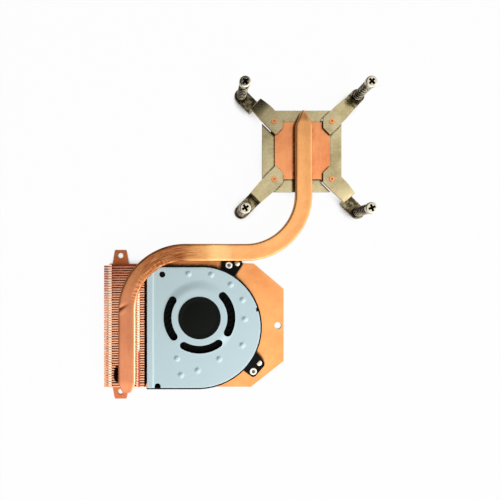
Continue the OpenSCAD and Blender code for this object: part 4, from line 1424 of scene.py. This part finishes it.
@dataclass
class PlateAndFins:
    """Copper base plate and the stack of fins that stands on it."""

    edge: float = 0.12
    count: int = 50
    pitch: float = 1.52
    sheet: float = 0.25
    fold: float = 0.25
    flange: float = 0.98
    locks: Pair = (3.7, 21.1)
    lock_w: float = 1.8
    lock_l: float = 0.5
    lock_rise: float = 0.27
    gap: float = 0.1
    worn_end: float = 3.2
    worn_flange: float = 1.3
    outlet_gap: float = 0.3
    columns: int = 24

    def fin_columns(self, depth: float) -> Array:
        """Places along a fin: even steps, with close ones at the sides of the two locks and at both ends."""
        beside = [self.lock_w / 2 + off for off in (0, 0.12, 0.35, 0.55)]
        close = [at + way * off for at in self.locks for way in (-1, 1) for off in beside]
        close += [self.worn_end, self.worn_end + 0.3, depth - self.outlet_gap - 0.1, depth - self.outlet_gap]
        even = np.linspace(0, depth, self.columns)
        return np.unique(np.round(np.concatenate([even, close]), 3))

    def build_fins(self) -> bpy.types.Object:
        """Carries a folded section along each fin.

        Returns:
            The stack. A section is a foot, a quarter circle, an upright sheet, a quarter circle
            and a flange at the top, each half a sheet's thickness to both sides of its middle
            line. At the locks the flange reaches over the next fin and rises by a smooth step,
            and beside them it is cut short. Tops lean by a few hundredths of a millimetre.
        """
        low, high = (np.array(corner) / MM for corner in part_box("fin_stack"))
        depth, height = high[0] - low[0], high[2] - low[2]
        first = high[1] - 0.5
        x = self.fin_columns(depth)[None, :, None]
        number = np.arange(1, self.count + 1)[:, None, None]
        t, c = self.sheet / 2, self.sheet / 2 + self.fold
        foot = np.linspace(-math.pi / 2, -math.pi, 4)
        head = np.linspace(math.pi, math.pi / 2, 5)
        share = np.array([0.3, 0.65, 1.0])
        folds = (self.fold * np.cos(foot), self.fold * np.cos(head))
        y_mid = np.concatenate([[self.pitch - self.gap], c + folds[0], c + folds[1], 0 * share])
        rises = (c + self.fold * np.sin(foot), height - c + self.fold * np.sin(head))
        z_mid = np.concatenate([[t], *rises, 0 * share + height - t])
        y_way = np.concatenate([[0], np.cos(foot), np.cos(head), 0 * share])
        z_way = np.concatenate([[-1], np.sin(foot), np.sin(head), 0 * share + 1])
        tips = np.concatenate([np.zeros(len(y_mid) - 3), share])[None, None, :]
        off = np.min([np.abs(x - at) for at in self.locks], axis=0)
        half = self.lock_w / 2
        tongue = ease(off, half + 0.12, half)
        notch = ease(off, half + 0.08, half + 0.16) * ease(off, half + 0.55, half + 0.4)
        world_x, world_y = low[0] + x, first - number * self.pitch
        dent_x, dent_y, dent_w, dent_d = FIN_DENT
        dented = ease(np.hypot((world_x - dent_x) / dent_w, (world_y - dent_y) / dent_d), 1.0, 0.75)
        dented = np.maximum(dented, ease(x, depth - self.outlet_gap - 0.1, depth - self.outlet_gap))
        wide = self.flange + (self.worn_flange - self.flange) * ease(x, self.worn_end + 0.3, self.worn_end)
        reach = wide + (self.pitch + self.lock_l - wide) * tongue - 0.5 * notch
        reach = reach + (0.45 - reach) * dented
        y_mid = np.where(tips > 0, c + (reach - c) * tips, y_mid)
        z_mid = z_mid + self.lock_rise * tongue * ease(y_mid, 0.45, 1.3) * (tips > 0)
        outer = np.stack([y_mid + t * y_way, z_mid + t * z_way], -1)
        inner = np.stack([y_mid - t * y_way, z_mid - t * z_way], -1)
        ring = np.concatenate([outer, inner[:, :, ::-1]], 2)
        lean = 0.05 * np.sin(2.4 * number) + 0.04 * np.sin(0.45 * x + 1.3 * number)
        lean = lean + 0.03 * np.sin(1.1 * x + 2.9 * number)
        y = world_y + ring[..., 0] + lean * (ring[..., 1] / height) ** 2
        z = low[2] + ring[..., 1]
        points = np.stack([np.broadcast_to(world_x, y.shape), y, z], -1)
        fins, cols, around = y.shape
        block = cols * around
        starts = (np.arange(fins) * block)[:, None, None]
        sides = (grid_quads(cols, around, True)[None] + starts).reshape(-1, 4)
        cap = np.arange(around // 2 - 1)
        lid = np.stack([cap, cap + 1, around - 2 - cap, around - 1 - cap], -1)
        first_lid = (lid[None] + starts).reshape(-1, 4)[:, ::-1]
        last_lid = (lid[None] + starts + (cols - 1) * around).reshape(-1, 4)
        # Where the painted highlight of the fins lies: the raised tips of the locks
        tip = tongue * ease(ring[..., 0], 0.95, 1.4) * (ring[..., 1] > height - 0.4)
        faces = (sides, first_lid, last_lid)
        return make_piece("fin_sheets", points.reshape(-1, 3), *faces, crease=40, layers={"tip": tip})

    def dress(self) -> None:
        """Replaces the plate with a copy whose edges are rounded, and the fins with folded sheets."""
        plate = softened("base_plate", "base_plate_skin", self.edge)
        hand_over(plate, "heatsink", "copper", Finish.PLATE, "base_plate")
        hand_over(self.build_fins(), "heatsink", "copper", Finish.FINS, "fin_stack")


# Studio


@dataclass
class Studio:
    """Camera, floor, world and lamps."""

    eye: Triple = (-65.5, -68.5, 201.2)
    lens: float = 22.752
    shift: Pair = (0.104, 0.02)
    floor_z: float = -8.25
    floor_half: float = 2500.0
    floor_glow: float = 0.965
    floor_reach: float = 12.0
    bright_way: Triple = (0.7071, -0.7071, 0.0)
    low_light: float = 0.5
    fill: float = 0.53
    key_power: float = 1.9
    key_place: Triple = (260.0, -470.0, 520.0)
    key_size: float = 260.0
    aim: Triple = (-45.0, -60.0, 0.0)

    def camera(self) -> None:
        """Camera that looks straight down, with up as +Y."""
        data = bpy.data.cameras.new("view")
        data.lens, data.sensor_width = self.lens, 36.0
        data.shift_x, data.shift_y = self.shift
        data.clip_start, data.clip_end = 0.01, 20.0
        eye = bpy.data.objects.new("view", data)
        eye.location = np.array(self.eye) * MM
        bpy.context.scene.collection.objects.link(eye)
        bpy.context.scene.camera = eye

    def floor(self) -> None:
        """Pale floor: mostly white to the camera, with a little of the shadow, and clear from below."""
        s = self.floor_half
        mesh = bpy.data.meshes.new("floor")
        corners = np.array([[s * x, s * y, self.floor_z] for x, y in ((-1, -1), (1, -1), (1, 1), (-1, 1))])
        mesh.from_pydata((corners * MM).tolist(), [], [[0, 1, 2, 3]])
        ground = bpy.data.objects.new("floor", mesh)
        bpy.context.scene.collection.objects.link(ground)
        material, graph = new_material("studio_floor")
        chalk = graph.add("BsdfDiffuse", {"Color": (0.8, 0.8, 0.8, 1)})
        glow = graph.add("Emission", {"Color": (1, 1, 1, 1), "Strength": 1.0})
        path = graph.add("LightPath")
        # Painted shade: the glow fades where little of the room is open within a short reach, so the floor there shows
        # its own lit and shaded colour
        open_way = graph.add("AmbientOcclusion", {"Distance": self.floor_reach * MM}, samples=8).outputs["AO"]
        bright = graph.remap(open_way, 0.4, 0.7, 0.0, self.floor_glow)
        seen = bright * path.outputs["Is Camera Ray"]
        echoed = graph.larger(path.outputs["Is Glossy Ray"], path.outputs["Is Transmission Ray"])
        share = graph.larger(seen, echoed * 0.25)
        above = graph.add("MixShader", {0: share, 1: chalk.outputs[0], 2: glow.outputs[0]})
        under = graph.add("NewGeometry").outputs["Backfacing"]
        both = graph.add("MixShader", {0: under, 1: above.outputs[0], 2: graph.add("BsdfTransparent").outputs[0]})
        graph.feed(graph.add("OutputMaterial").inputs["Surface"], both.outputs[0])
        mesh.materials.append(material)

    def world(self) -> None:
        """White room: dark high up at the upper left, dimmer below that, brightest at the lower right."""
        world = bpy.data.worlds.new("studio")
        bpy.context.scene.world = world
        world.use_nodes = True
        graph = Graph(world.node_tree)
        way = graph.add("TexCoord").outputs["Generated"]
        lean = graph.dot(way, self.bright_way)
        ramp = graph.add("ValToRGB", {"Fac": graph.total(lean, 0.5)})
        stops = (
            (0.0, 0.01), (0.2, 0.03), (0.25, 0.08), (0.32, 0.55),
            (0.41, 0.98), (0.5, 1.18), (0.86, 1.28), (0.96, 2.3),
        )
        height = graph.split(way)[2]
        dim = (self.low_light, self.low_light, self.low_light, 1)
        level = graph.mix(graph.remap(height, 0.3, 0.62), dim, ramp.outputs[0])
        level = graph.mix(graph.remap(lean, -0.1, 0.2), level, ramp.outputs[0])
        track = ramp.color_ramp
        while len(track.elements) < len(stops):
            track.elements.new(0.5)
        for element, (at, value) in zip(track.elements, stops):
            element.position = at
            element.color = (value, value, value, 1)
        path = graph.add("LightPath")
        echoed = graph.larger(path.outputs["Is Glossy Ray"], path.outputs["Is Transmission Ray"])
        room = graph.add("Background", {"Color": level, "Strength": graph.blend(echoed, self.fill, 1.0)})
        white = graph.add("Background", {"Color": (1, 1, 1, 1), "Strength": 1.0})
        both = graph.add("MixShader", {0: path.outputs["Is Camera Ray"], 1: room.outputs[0], 2: white.outputs[0]})
        graph.feed(graph.add("OutputWorld").inputs["Surface"], both.outputs[0])

    def key(self) -> None:
        """Soft lamp from the lower right."""
        data = bpy.data.lights.new("key", "AREA")
        data.shape, data.size, data.energy = "DISK", self.key_size * MM, self.key_power
        lamp = bpy.data.objects.new("key", data)
        place = np.array(self.key_place)
        lamp.location = place * MM
        toward = np.array(self.aim) - place
        lamp.rotation_euler = (
            math.atan2(float(np.hypot(toward[0], toward[1])), float(-toward[2])),
            0.0,
            math.atan2(float(toward[1]), float(toward[0])) - math.pi / 2,
        )
        lamp.visible_glossy = False
        bpy.context.scene.collection.objects.link(lamp)

    def build(self) -> None:
        """Builds the studio with a plain view transform."""
        bpy.context.scene.view_settings.view_transform = "Standard"
        self.camera()
        self.floor()
        self.world()
        self.key()


def note_sizes() -> None:
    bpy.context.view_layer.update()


def main() -> None:
    """Builds the sub-assemblies in order."""
    Studio().build()
    PlateAndFins().dress()
    HeatPipe().dress()
    BlockAndArms().dress()
    ScrewSet().dress()
    Blower().dress()
    note_sizes()


if __name__ == "__main__":
    main()
